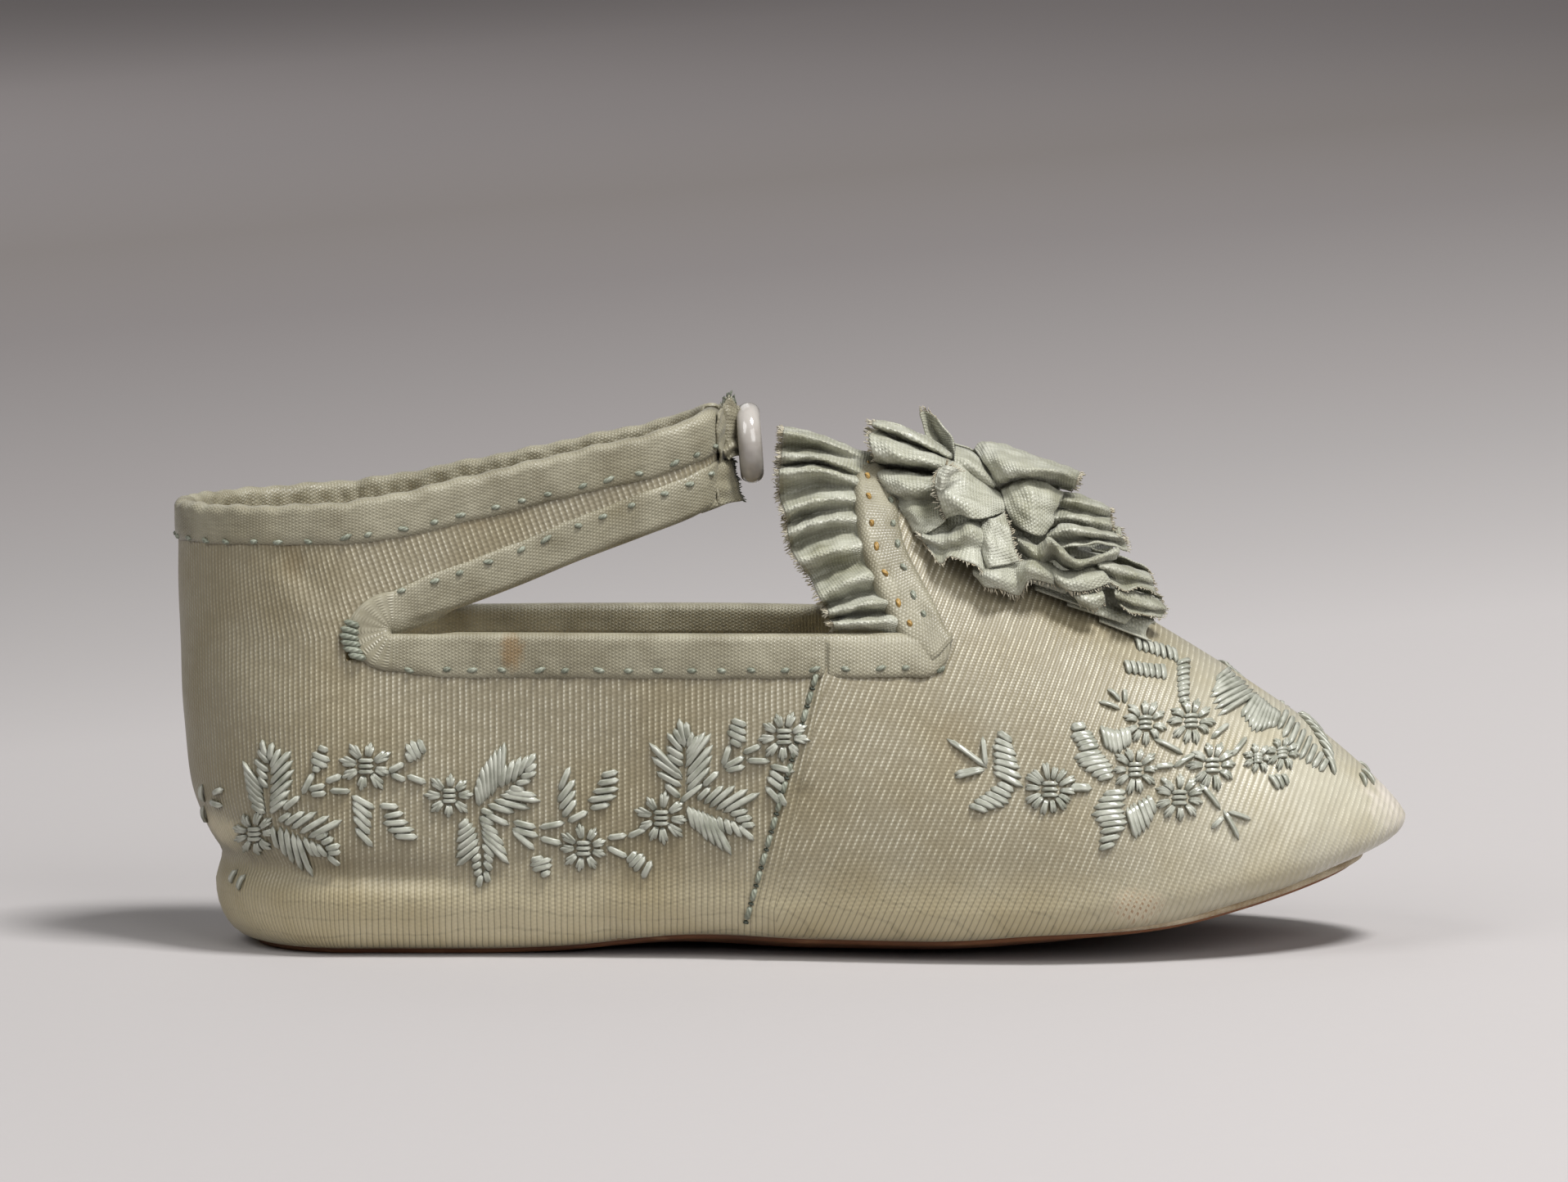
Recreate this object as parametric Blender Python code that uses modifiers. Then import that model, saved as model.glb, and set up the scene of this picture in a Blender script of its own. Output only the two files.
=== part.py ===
"""Infant's embroidered silk slipper with a buttoned ankle strap.

A soft straight-lasted slipper: thin leather outsole, insole, one hollow silk upper that runs out
into the ankle strap, ribbon bindings along its edges, a pleated frill at the throat, a ribbon
rosette on the vamp and a china button. +X points to the toe, +Z up, and the origin lies on the floor
under the middle of the shoe. Sizes are in millimetres, and MM turns them into Blender's metres.
"""

import math
from collections import namedtuple

import bmesh
import bpy
import numpy as np

MM = 0.001

# Driving sizes of the last
TOE_X = 57.5
BALL_X = 24.0
BALL_HALF = 21.0
TOE_POINT = 1.8
SLIT_X = -40.6
THROAT_X = 12.6
THROAT_HALF = 13.4
TONGUE_X = 7.9
TONGUE_RISE = 39.2
RIDGE_FALL = 1.1
RIDGE_ROUND = 0.8
HEEL_ROUND = 2.05
TOE_SPRING = 8.6
SPRING_X = 12.0
SPRING_POWER = 1.7
ARCH_RISE = 0.5
ARCH_X = (-22.0, 2.0)

# Thicknesses and gaps
WALL = 1.2
GAP = 0.3
INNER_GAP = 0.5
SOLE_THICK = 1.8
INSOLE_THICK = 1.0
FEATHER_LIFT = 0.6
FEATHER_INSET = 3.5
SOLE_INSET = 0.4
RIBBON_THICK = 0.45
RIBBON_WIDTH = 3.4
RIBBON_TURN = 2.2

# Plan of the foot behind the ball, at the level where it is widest
Plan = namedtuple("Plan", "x half top_half roll arch")
PLAN = (
    Plan(-60.0, 15.3, 14.4, 5.2, 2.0),
    Plan(SLIT_X, 15.3, 14.5, 5.2, 2.0),
    Plan(-20.0, 15.6, 15.2, 5.0, 1.9),
    Plan(-5.0, 16.9, 15.6, 4.8, 1.8),
    Plan(THROAT_X, 19.9, THROAT_HALF, 4.5, 1.7),
    Plan(BALL_X, BALL_HALF, THROAT_HALF, 4.2, 1.75),
    Plan(40.0, BALL_HALF, THROAT_HALF, 3.5, 1.9),
    Plan(TOE_X, BALL_HALF, THROAT_HALF, 2.4, 2.0),
)

# Back of the heel and half breadth of the heel cup, by height
Heel = namedtuple("Heel", "z back half")
HEEL = (
    Heel(5.8, -53.5, 15.3),
    Heel(8.3, -53.1, 15.3),
    Heel(11.0, -54.3, 15.7),
    Heel(15.0, -55.7, 15.8),
    Heel(21.0, -56.3, 15.3),
    Heel(27.4, -56.6, 14.5),
    Heel(34.0, -56.75, 13.7),
    Heel(42.0, -56.8, 13.3),
)

# Ankle strap: plan half breadth and the heights of its two edges, from its root to the front of the loop
Strap = namedtuple("Strap", "x half lower upper")
STRAP = (
    Strap(SLIT_X, 13.9, 29.4, 41.2),
    Strap(-36.0, 13.1, 31.0, 41.9),
    Strap(-31.0, 11.5, 32.4, 43.0),
    Strap(-25.0, 9.8, 34.5, 44.3),
    Strap(-19.0, 8.6, 36.9, 45.6),
    Strap(-13.0, 7.9, 39.1, 46.8),
    Strap(-9.0, 6.4, 40.5, 47.8),
    Strap(-7.0, 4.1, 41.4, 48.5),
    Strap(-6.1, 0.0, 41.9, 48.8),
)

# Edges of the upper
TOPLINE_Z = 29.3
SLIT_LOW_Z = 27.4
SLIT_HIGH_Z = 29.4
SLIT_FLARE = 5.0
THROAT_SWEEP = 1.5
RIB_LEAN = 1.6
CORNER_LEAN = 5.0
COLLAR_BACK_Z = 40.5

# Mesh counts
HEEL_COLUMNS = 8
QUARTER_COLUMNS = 11
THROAT_COLUMNS = 6
RIDGE_COLUMNS = 12
STRAP_COLUMNS = 13
ROLL_ROWS = 4
WALL_ROWS = (0.0, 0.11, 0.23, 0.37, 0.51, 0.65, 0.78, 0.9, 1.0)
STRAP_ROWS = (0.0, 0.28, 0.5, 0.72, 1.0)

# Frill, rosette and button
FRILL_WIDTH = 8.0
FRILL_PLEATS = 23
FRILL_DEPTH = 0.75
FRILL_THICK = 0.5
FRILL_LIFT = 0.28
ROSETTE_X = 20.5
ROSETTE_THICK = 0.7
ROSETTE_CORE = (5.5, 4.5, 2.6)
BUTTON_RADIUS = 3.65
BUTTON_THICK = 2.0
BUTTON_RIM = 0.9
BUTTON_DISH = 0.5
BUTTON_HOLE = 0.45
BUTTON_HOLE_RING = 1.1
BUTTON_Z = 46.0
BUTTON_TILT = math.radians(4.0)
LAP_HALF = 5.4
LAP_THICK = 0.8

# Rosette tiers, lowest first: reach along and across the foot, shift towards the toe, height of the
# inner and outer edge above the seat, folds and their depth
Tier = namedtuple("Tier", "along across shift inner outer folds depth droop")
TIERS = (
    Tier(16.5, 13.0, 2.2, 1.4, 2.4, 11, 0.75, 0.045),
    Tier(14.5, 11.2, 1.6, 2.6, 4.2, 9, 0.95, 0.032),
    Tier(11.0, 9.0, 0.6, 3.4, 6.0, 7, 1.1, 0.016),
    Tier(6.8, 6.0, 0.8, 3.8, 7.4, 5, 0.9, 0.008),
)


def smooth(table, column, at, value):
    """Reads a table column at a place between rows, on a smooth curve through the rows."""
    places = [getattr(row, at) for row in table]
    values = [getattr(row, column) for row in table]
    last = len(places) - 1
    value = min(max(value, places[0]), places[last])
    i = next(k for k in range(last) if value <= places[k + 1])

    def slope(k):
        low, high = max(k - 1, 0), min(k + 1, last)
        return (values[high] - values[low]) / (places[high] - places[low])

    step = places[i + 1] - places[i]
    t = (value - places[i]) / step
    near = (1 + 2 * t) * (1 - t) ** 2 * values[i] + t * (1 - t) ** 2 * step * slope(i)
    far = t * t * (3 - 2 * t) * values[i + 1] + t * t * (t - 1) * step * slope(i + 1)
    return near + far


def ease(t):
    """Smooth step from 0 to 1."""
    t = min(max(t, 0.0), 1.0)
    return t * t * (3 - 2 * t)


def sole_height(x):
    """Underside of the sole: flat under heel and ball, a low arch between, and the toe spring."""
    start, end = ARCH_X
    arch = ARCH_RISE * math.sin(math.pi * (x - start) / (end - start)) ** 2 if start < x < end else 0.0
    reach = max(0.0, x - SPRING_X) / (TOE_X - SPRING_X)
    return arch + TOE_SPRING * reach**SPRING_POWER


def feather_height(x):
    """Height of the upper's lower edge, where it meets the sole."""
    return sole_height(x) + FEATHER_LIFT


def widest_height(x):
    """Height at which the upper is widest, above the roll that turns under to the sole."""
    return feather_height(x) + smooth(PLAN, "roll", "x", x)


def half_breadth(x):
    """Greatest half breadth of the upper at a station along the foot."""
    if x <= BALL_X:
        return smooth(PLAN, "half", "x", x)
    reach = min((x - BALL_X) / (TOE_X - BALL_X), 1.0)
    return BALL_HALF * (1 - reach**TOE_POINT) ** (1 / TOE_POINT)


def ridge_rise(x):
    """Height of the vamp's ridge above the widest level."""
    reach = min(max((x - TONGUE_X) / (TOE_X - TONGUE_X), 0.0), 1.0)
    return TONGUE_RISE * (1 - reach**RIDGE_FALL) ** RIDGE_ROUND


def vamp_point(x, angle):
    """Point of the vamp's outer surface: angle 0 at the widest level, a quarter turn at the ridge."""
    arch = smooth(PLAN, "arch", "x", x)
    c, s = max(math.cos(angle), 0.0), max(math.sin(angle), 0.0)
    scale = (c**arch + s**arch) ** (-1 / arch)
    return np.array([x, half_breadth(x) * scale * c, widest_height(x) + ridge_rise(x) * scale * s])


def vamp_angle(x, z):
    """Angle of the vamp point at a station that lies at a height."""
    arch = smooth(PLAN, "arch", "x", x)
    rise = (z - widest_height(x)) / ridge_rise(x)
    return math.atan2(rise, (1 - rise**arch) ** (1 / arch))


def topline_height(x):
    """Upper edge of the quarter, dipping into the root of the slit."""
    return SLIT_LOW_Z + (TOPLINE_Z - SLIT_LOW_Z) * ease((x - SLIT_X) / SLIT_FLARE)


def heel_half(z):
    return smooth(HEEL, "half", "z", z)


def quarter_half(x, z):
    """Half breadth of the quarter's wall between the heel cup and the throat."""
    half, arch = half_breadth(x), smooth(PLAN, "arch", "x", x)
    top = smooth(PLAN, "top_half", "x", x) / half
    share = (1 - top**arch) ** (1 / arch)
    rise = min(max((z - widest_height(x)) / (TOPLINE_Z - widest_height(x)), 0.0) * share, 0.999)
    wall = half * (1 - rise**arch) ** (1 / arch)
    blend = ease((x - SLIT_X) / (-20.0 - SLIT_X))
    return heel_half(z) * (1 - blend) + wall * blend


def heel_point(share, z):
    """Point of the heel cup: share 0 at the centre back, 1 at the root of the slit."""
    angle = share * math.pi / 2
    back = smooth(HEEL, "back", "z", z)
    along = 1 - max(math.cos(angle), 0.0) ** (2 / HEEL_ROUND)
    return np.array([back + (SLIT_X - back) * along, heel_half(z) * math.sin(angle) ** (2 / HEEL_ROUND), z])


def collar_height(share):
    """Upper edge of the heel cup, which lifts towards the strap."""
    return COLLAR_BACK_Z + (STRAP[0].upper - COLLAR_BACK_Z) * share**3


def strap_half(x, z):
    """Half breadth of the strap's loop, which leaves the heel cup with that cup's own breadth."""
    root = heel_half(z) - STRAP[0].half
    return smooth(STRAP, "half", "x", x) + root * (1 - ease((x - SLIT_X) / 12.0))


def strap_x(share):
    """Stations along the strap, closer together round the front of the loop."""
    front = STRAP[-1].x
    return front - (front - SLIT_X) * (1 - math.sin(share * math.pi / 2) ** 1.15)


def strap_point(x, across):
    """Point of the strap's outer surface, from its lower edge (0) to its upper edge (1)."""
    lower, upper = smooth(STRAP, "lower", "x", x), smooth(STRAP, "upper", "x", x)
    z = lower + (upper - lower) * across
    return np.array([x, max(strap_half(x, z), 0.0), z])


def throat_edge(share):
    """Station and angle along the throat edge, from the topline corner (0) to the tongue's tip (1)."""
    corner = vamp_angle(THROAT_X, TOPLINE_Z)
    x = TONGUE_X + (THROAT_X - TONGUE_X) * (1 - share) ** THROAT_SWEEP
    return x, corner + (math.pi / 2 - corner) * share


def side_y(x, z):
    """Half breadth of the side wall seen square on: heel cup, strap above the slit, quarter below."""
    if x <= SLIT_X:
        back = smooth(HEEL, "back", "z", z)
        reach = 1 - (x - back) / (SLIT_X - back)
        return heel_half(z) * (1 - min(max(reach, 0.0), 1.0) ** HEEL_ROUND) ** (1 / HEEL_ROUND)
    slit = (smooth(STRAP, "lower", "x", x) + topline_height(x)) / 2
    return strap_half(x, z) if z > slit else quarter_half(x, z)


def side_normal(x, z):
    """Outward normal of the side wall."""
    step = 0.05
    dx = (side_y(x + step, z) - side_y(x - step, z)) / (2 * step)
    dz = (side_y(x, z + step) - side_y(x, z - step)) / (2 * step)
    normal = np.array([-dx, 1.0, -dz])
    return normal / np.linalg.norm(normal)


def outline_columns():
    """Plan stations of the widest line on one side, from the centre back to the toe."""
    level = HEEL[0].z
    heel = [heel_point(i / HEEL_COLUMNS, level)[:2] for i in range(HEEL_COLUMNS)]
    quarter = [SLIT_X + (THROAT_X - SLIT_X) * i / QUARTER_COLUMNS for i in range(QUARTER_COLUMNS)]
    throat_end = THROAT_X + 10.0
    throat = [THROAT_X + (throat_end - THROAT_X) * i / THROAT_COLUMNS for i in range(THROAT_COLUMNS)]
    ridge = [
        TOE_X - (TOE_X - throat_end) * (1 - i / RIDGE_COLUMNS) ** 1.5 for i in range(RIDGE_COLUMNS + 1)
    ]
    sides = [np.array([x, half_breadth(x)]) for x in quarter + throat + ridge]
    sides[-1] = np.array([TOE_X, 0.0])
    return heel + sides


def inward_normals(columns):
    """Plan normals that point into the foot, square to the widest line."""
    points = np.array(columns)
    first, last = points[1] * (1, -1), points[-2] * (1, -1)
    points = np.vstack([first, points, last])
    along = points[2:] - points[:-2]
    normals = np.stack([along[:, 1], -along[:, 0]], axis=1)
    return normals / np.linalg.norm(normals, axis=1)[:, None]


def roll_column(plan, inward):
    """The strip below the widest line, from the feather edge out and up round the roll."""
    low, high = feather_height(plan[0]), widest_height(plan[0])
    strip = []
    for i in range(ROLL_ROWS):
        turn = math.pi / 2 * (1 - i / ROLL_ROWS)
        xy = plan + inward * FEATHER_INSET * (1 - math.cos(turn))
        strip.append(np.array([*xy, high - (high - low) * math.sin(turn)]))
    strip[0][1] = max(strip[0][1], 0.0)
    return strip


def wall_column(index, plan):
    """The strip above the widest line, up to the topline, throat edge or ridge."""
    x = plan[0]
    if index < HEEL_COLUMNS:
        return [
            heel_point(index / HEEL_COLUMNS, HEEL[0].z + (SLIT_LOW_Z - HEEL[0].z) * row) for row in WALL_ROWS
        ]
    if index <= HEEL_COLUMNS + QUARTER_COLUMNS:
        low, high = widest_height(x), topline_height(x)
        levels = [low + (high - low) * row for row in WALL_ROWS]
        return [np.array([x, quarter_half(x, z), z]) for z in levels]
    throat = index - HEEL_COLUMNS - QUARTER_COLUMNS
    lean = RIB_LEAN
    if throat <= THROAT_COLUMNS:
        top_x, top_angle = throat_edge(throat / THROAT_COLUMNS)
        lean = CORNER_LEAN + (RIB_LEAN - CORNER_LEAN) * throat / THROAT_COLUMNS
    else:
        share = (throat - THROAT_COLUMNS) / RIDGE_COLUMNS
        top_x, top_angle = TOE_X - (TOE_X - TONGUE_X) * (1 - share) ** 1.5, math.pi / 2
    strip = [vamp_point(x + (top_x - x) * row**lean, top_angle * row) for row in WALL_ROWS]
    if top_angle == math.pi / 2:
        strip[-1][1] = 0.0
    return strip


def cuff_column(index):
    """The heel cup above the root of the slit, up to the collar."""
    share = index / HEEL_COLUMNS
    levels = [SLIT_HIGH_Z + (collar_height(share) - SLIT_HIGH_Z) * row for row in STRAP_ROWS]
    return [heel_point(share, z) for z in levels]


def new_collection(name):
    collection = bpy.data.collections.new(name)
    bpy.context.scene.collection.children.link(collection)
    return collection


def new_material(name, colour, roughness, metallic=0.0):
    material = bpy.data.materials.new(name)
    material.use_nodes = True
    shader = material.node_tree.nodes["Principled BSDF"]
    shader.inputs["Base Color"].default_value = (*colour, 1.0)
    shader.inputs["Roughness"].default_value = roughness
    shader.inputs["Metallic"].default_value = metallic
    return material


def new_object(name, mesh_bm, collection, material):
    """A named object from a bmesh in millimetres, with doubled points merged."""
    bmesh.ops.remove_doubles(mesh_bm, verts=mesh_bm.verts, dist=0.01)
    bmesh.ops.dissolve_degenerate(mesh_bm, dist=0.001, edges=mesh_bm.edges)
    for vert in mesh_bm.verts:
        vert.co *= MM
    mesh = bpy.data.meshes.new(name)
    mesh_bm.to_mesh(mesh)
    mesh_bm.free()
    mesh.shade_smooth()
    mesh.set_sharp_from_angle(angle=math.radians(50))
    mesh.materials.append(material)
    obj = bpy.data.objects.new(name, mesh)
    collection.objects.link(obj)
    return obj


def add_strips(mesh_bm, strips):
    """Quads between neighbouring strips of equal length."""
    rows = [[mesh_bm.verts.new(point) for point in strip] for strip in strips]
    for left, right in zip(rows, rows[1:]):
        for k in range(len(left) - 1):
            mesh_bm.faces.new((left[k], right[k], right[k + 1], left[k + 1]))


def loft(name, rings, collection, material, closed=False):
    """A closed solid through rings of equal length, capped at its ends unless it closes on itself."""
    mesh_bm = bmesh.new()
    rows = [[mesh_bm.verts.new(point) for point in ring] for ring in rings]
    count = len(rows[0])
    pairs = list(zip(rows, rows[1:] + rows[:1])) if closed else list(zip(rows, rows[1:]))
    for left, right in pairs:
        for k in range(count):
            mesh_bm.faces.new((left[k], left[(k + 1) % count], right[(k + 1) % count], right[k]))
    if not closed:
        mesh_bm.faces.new(list(reversed(rows[0])))
        mesh_bm.faces.new(rows[-1])
    bmesh.ops.recalc_face_normals(mesh_bm, faces=mesh_bm.faces)
    return new_object(name, mesh_bm, collection, material)


def mirrored(points):
    """The same points on the other side of the foot."""
    return [np.array([p[0], -p[1], p[2]]) for p in points]


def build_upper(collection, material):
    """Quarters, vamp and strap as one hollow wall, open at the collar, the slits and underneath."""
    columns = outline_columns()
    normals = inward_normals(columns)
    mesh_bm = bmesh.new()
    strips = [roll_column(p, n) + wall_column(i, p) for i, (p, n) in enumerate(zip(columns, normals))]
    add_strips(mesh_bm, strips)
    cuffs = [[strips[i][-1], *cuff_column(i)] for i in range(HEEL_COLUMNS + 1)]
    add_strips(mesh_bm, cuffs)
    straps = [
        [strap_point(strap_x(i / STRAP_COLUMNS), row) for row in STRAP_ROWS]
        for i in range(STRAP_COLUMNS + 1)
    ]
    straps[0] = cuff_column(HEEL_COLUMNS)
    add_strips(mesh_bm, straps)
    bmesh.ops.remove_doubles(mesh_bm, verts=mesh_bm.verts, dist=0.02)
    bmesh.ops.recalc_face_normals(mesh_bm, faces=mesh_bm.faces)
    widest = max(mesh_bm.faces, key=lambda face: face.calc_center_median().y)
    if widest.normal.y < 0:
        bmesh.ops.reverse_faces(mesh_bm, faces=mesh_bm.faces)
    upper = new_object("upper", mesh_bm, collection, material)
    mirror = upper.modifiers.new("Mirror", "MIRROR")
    mirror.use_axis = (False, True, False)
    mirror.merge_threshold = 0.00002
    wall = upper.modifiers.new("Wall", "SOLIDIFY")
    wall.thickness = WALL * MM
    wall.offset = -1.0
    wall.use_even_offset = False
    wall.use_quality_normals = True
    return upper


def sole_rings(bottom, top):
    """Four-cornered sections along the foot, inside the feather edge."""
    columns = outline_columns()
    normals = inward_normals(columns)
    rings = []
    for plan, inward in zip(columns, normals):
        x, y = plan + inward * (FEATHER_INSET + SOLE_INSET)
        y = max(y, 0.0)
        low, high = sole_height(x) + bottom, sole_height(x) + top
        rings.append([(x, -y, low), (x, y, low), (x, y, high), (x, -y, high)])
    return rings


def build_outsole(collection, material):
    return loft("outsole", sole_rings(0.0, SOLE_THICK), collection, material)


def build_insole(collection, material):
    bottom = SOLE_THICK + GAP
    return loft("insole", sole_rings(bottom, bottom + INSOLE_THICK), collection, material)


def binding_ring(surface):
    """Section of a folded ribbon over an edge: surface gives a point by distance from the edge and offset."""
    outer, inner = GAP, -(WALL + INNER_GAP)
    lip = -GAP - RIBBON_THICK
    return [
        surface(RIBBON_WIDTH, outer),
        surface(RIBBON_WIDTH, outer + RIBBON_THICK),
        surface(RIBBON_WIDTH / 2, outer + RIBBON_THICK),
        surface(lip, outer + RIBBON_THICK),
        surface(lip, inner - RIBBON_THICK),
        surface(RIBBON_TURN, inner - RIBBON_THICK),
        surface(RIBBON_TURN, inner),
        surface(-GAP, inner),
        surface(-GAP, outer),
        surface(RIBBON_WIDTH / 2, outer),
    ]


def side_surface(x, z, into):
    """Surface reader for an edge point of the side wall, with into the direction away from the edge."""

    def read(distance, offset):
        at_x, at_z = x + into[0] * distance, z + into[1] * distance
        base = np.array([at_x, side_y(at_x, at_z), at_z])
        return base + side_normal(at_x, at_z) * offset

    return read


def build_top_binding(collection, material):
    """Ribbon over the collar and the strap's upper edge, from one end of the strap to the other."""
    half = []
    for i in range(HEEL_COLUMNS + 1):
        half.append(heel_edge_reader(i / HEEL_COLUMNS))
    last = lap_start()
    for i in range(1, STRAP_COLUMNS + 1):
        x = SLIT_X + (last - SLIT_X) * i / STRAP_COLUMNS
        half.append(strap_edge_reader(x, upper=True))
    near = [[flip(p) for p in binding_ring(read)] for read in reversed(half[1:])]
    far = [binding_ring(read) for read in half]
    return loft("top_binding", near + far, collection, material)


def flip(point):
    return np.array([point[0], -point[1], point[2]])


def heel_edge_reader(share):
    """Surface reader for the collar's edge round the back of the heel."""

    def read(distance, offset):
        z = collar_height(share) - distance
        step = 0.01
        along = heel_point(min(share + step, 1.0), z) - heel_point(max(share - step, 0.0), z)
        if share == 0.0:
            along = np.array([0.0, 1.0, 0.0])
        up = heel_point(share, z + 0.2) - heel_point(share, z - 0.2)
        normal = np.cross(along, up)
        normal /= np.linalg.norm(normal)
        outward = np.array([-1.0, 0.0, 0.0]) if share < 0.5 else np.array([0.0, 1.0, 0.0])
        if normal @ outward < 0:
            normal = -normal
        return heel_point(share, z) + normal * offset

    return read


def strap_edge_reader(x, upper):
    """Surface reader for an edge of the strap."""
    column = "upper" if upper else "lower"
    into = (0.0, -1.0) if upper else (0.0, 1.0)
    return side_surface(x, smooth(STRAP, column, "x", x), into)


def lap_start():
    """Station where the strap's lapped end begins on each side of the loop."""
    return next(
        x for x in np.arange(STRAP[-3].x, STRAP[-1].x, 0.02) if strap_half(x, BUTTON_Z) <= LAP_HALF
    ) - 2 * GAP


def build_slit_binding(name, side, collection, material):
    """Ribbon from the throat corner along the topline, round the slit and along the strap's lower edge."""
    readers = []
    quarter_start = SLIT_X + 1.2
    for i in range(QUARTER_COLUMNS + 2):
        x = THROAT_X - 2 * GAP - RIBBON_THICK + (quarter_start - THROAT_X + RIBBON_THICK) * i / (QUARTER_COLUMNS + 1)
        readers.append(side_surface(x, topline_height(x), (0.0, -1.0)))
    middle = (SLIT_LOW_Z + SLIT_HIGH_Z) / 2
    diagonal = math.sqrt(0.5)
    corners = (
        (SLIT_LOW_Z, (-diagonal, -diagonal)),
        (middle, (-1.0, 0.0)),
        (SLIT_HIGH_Z, (-diagonal, diagonal)),
    )
    for z, into in corners:
        readers.append(side_surface(SLIT_X, z, into))
    last = lap_start()
    for i in range(STRAP_COLUMNS):
        x = quarter_start + (last - quarter_start) * i / (STRAP_COLUMNS - 1)
        readers.append(strap_edge_reader(x, upper=False))
    rings = [binding_ring(read) for read in readers]
    if side < 0:
        rings = [[flip(p) for p in ring] for ring in rings]
    return loft(name, rings, collection, material)


def vamp_normal(x, angle):
    """Outward normal of the vamp."""
    step = 0.02
    along = vamp_point(x + step, angle) - vamp_point(x - step, angle)
    if angle > math.pi / 2 - 2 * step:
        around = np.array([0.0, -1.0, 0.0])
    else:
        around = vamp_point(x, angle + step) - vamp_point(x, angle - step)
    normal = np.cross(around, along)
    return normal / np.linalg.norm(normal)


def throat_frame(share):
    """Edge point of the throat, its normal and the direction from the edge into the vamp."""
    x, angle = throat_edge(share)
    step = 0.01
    before, after = throat_edge(max(share - step, 0.0)), throat_edge(min(share + step, 1.0))
    along = vamp_point(*after) - vamp_point(*before)
    if share > 1 - step:
        along = np.array([0.0, -1.0, 0.0])
    normal = vamp_normal(x, angle)
    into = np.cross(normal, along)
    into /= np.linalg.norm(into)
    if into[0] < 0:
        into = -into
    return x, angle, normal, into


def throat_reader(share):
    """Surface reader for the throat edge."""
    x, angle, normal, into = throat_frame(share)
    step = 0.02
    by_x = (vamp_point(x + step, angle) - vamp_point(x - step, angle)) / (2 * step)
    by_angle = np.cross(normal, by_x)
    by_angle *= 1.0 if by_angle[2] >= 0 else -1.0
    size = np.linalg.norm(vamp_point(x, angle - step) - vamp_point(x, angle)) / step
    by_angle = by_angle / np.linalg.norm(by_angle) * size
    move = np.linalg.lstsq(np.stack([by_x, by_angle], axis=1), into, rcond=None)[0]

    def read(distance, offset):
        at_angle = min(angle + move[1] * distance, math.pi / 2)
        at_x = x + move[0] * distance
        if distance < 0:
            return vamp_point(x, angle) + into * distance + normal * offset
        return vamp_point(at_x, at_angle) + vamp_normal(at_x, at_angle) * offset

    return read


def build_throat_binding(collection, material):
    """Ribbon over the throat edge, from corner to corner over the tongue's tip."""
    count = 2 * THROAT_COLUMNS
    start = 0.06
    shares = [start + (1 - start) * i / count for i in range(count + 1)]
    half = [binding_ring(throat_reader(share)) for share in shares]
    for point in half[-1]:
        point[1] = 0.0
    other = [mirrored(ring) for ring in reversed(half[:-1])]
    return loft("throat_binding", half + other, collection, material)


def build_frill(collection, material):
    """Pleated ribbon that stands out of the throat edge towards the ankle."""
    steps = FRILL_PLEATS * 4
    rings = []
    for i in range(steps + 1):
        along = i / steps
        share = 1 - abs(2 * along - 1)
        share = 0.1 + 0.9 * share
        side = 1.0 if along <= 0.5 else -1.0
        x, angle, normal, into = throat_frame(share)
        edge = vamp_point(x, angle)
        out = np.array([-1.0, 0.0, FRILL_LIFT * ease(share)])
        out /= np.linalg.norm(out)
        across = normal - out * (normal @ out)
        across /= np.linalg.norm(across)
        fold = FRILL_DEPTH * math.sin(2 * math.pi * FRILL_PLEATS * along)
        start = edge - into * (2 * GAP + RIBBON_THICK) - normal * WALL / 2
        middle = start + out * FRILL_WIDTH * 0.45 + across * fold
        tip = start + out * FRILL_WIDTH + across * fold * 1.3
        half_thick = across * FRILL_THICK / 2
        root = start + across * fold * 0.35
        ring = [root - half_thick, middle - half_thick, tip - half_thick]
        ring += [tip + half_thick, middle + half_thick, root + half_thick]
        rings.append([p if side > 0 else flip(p) for p in ring])
    return loft("throat_frill", rings, collection, material)


def rosette_axes():
    """Seat of the rosette on the ridge, the direction down the vamp and the direction away from it."""
    seat = vamp_point(ROSETTE_X, math.pi / 2)
    seat[1] = 0.0
    ahead = vamp_point(ROSETTE_X + 3.0, math.pi / 2) - vamp_point(ROSETTE_X - 3.0, math.pi / 2)
    ahead[1] = 0.0
    ahead /= np.linalg.norm(ahead)
    away = np.array([-ahead[2], 0.0, ahead[0]])
    return seat, ahead, away


def tier_point(tier, turn, reach):
    """Point of a frilled tier: turn round the rosette, reach from its inner to its outer edge."""
    wave = tier.depth * reach * math.sin(tier.folds * turn + tier.along)
    edge = 1 + 0.05 * math.sin(3 * turn + tier.across)
    radius = 0.22 + 0.78 * reach
    along = tier.along * edge * radius * math.cos(turn) + tier.shift
    across = tier.across * edge * radius * math.sin(turn)
    height = tier.inner + (tier.outer - tier.inner) * reach + wave - tier.droop * across * across
    return along, across, height


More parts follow.
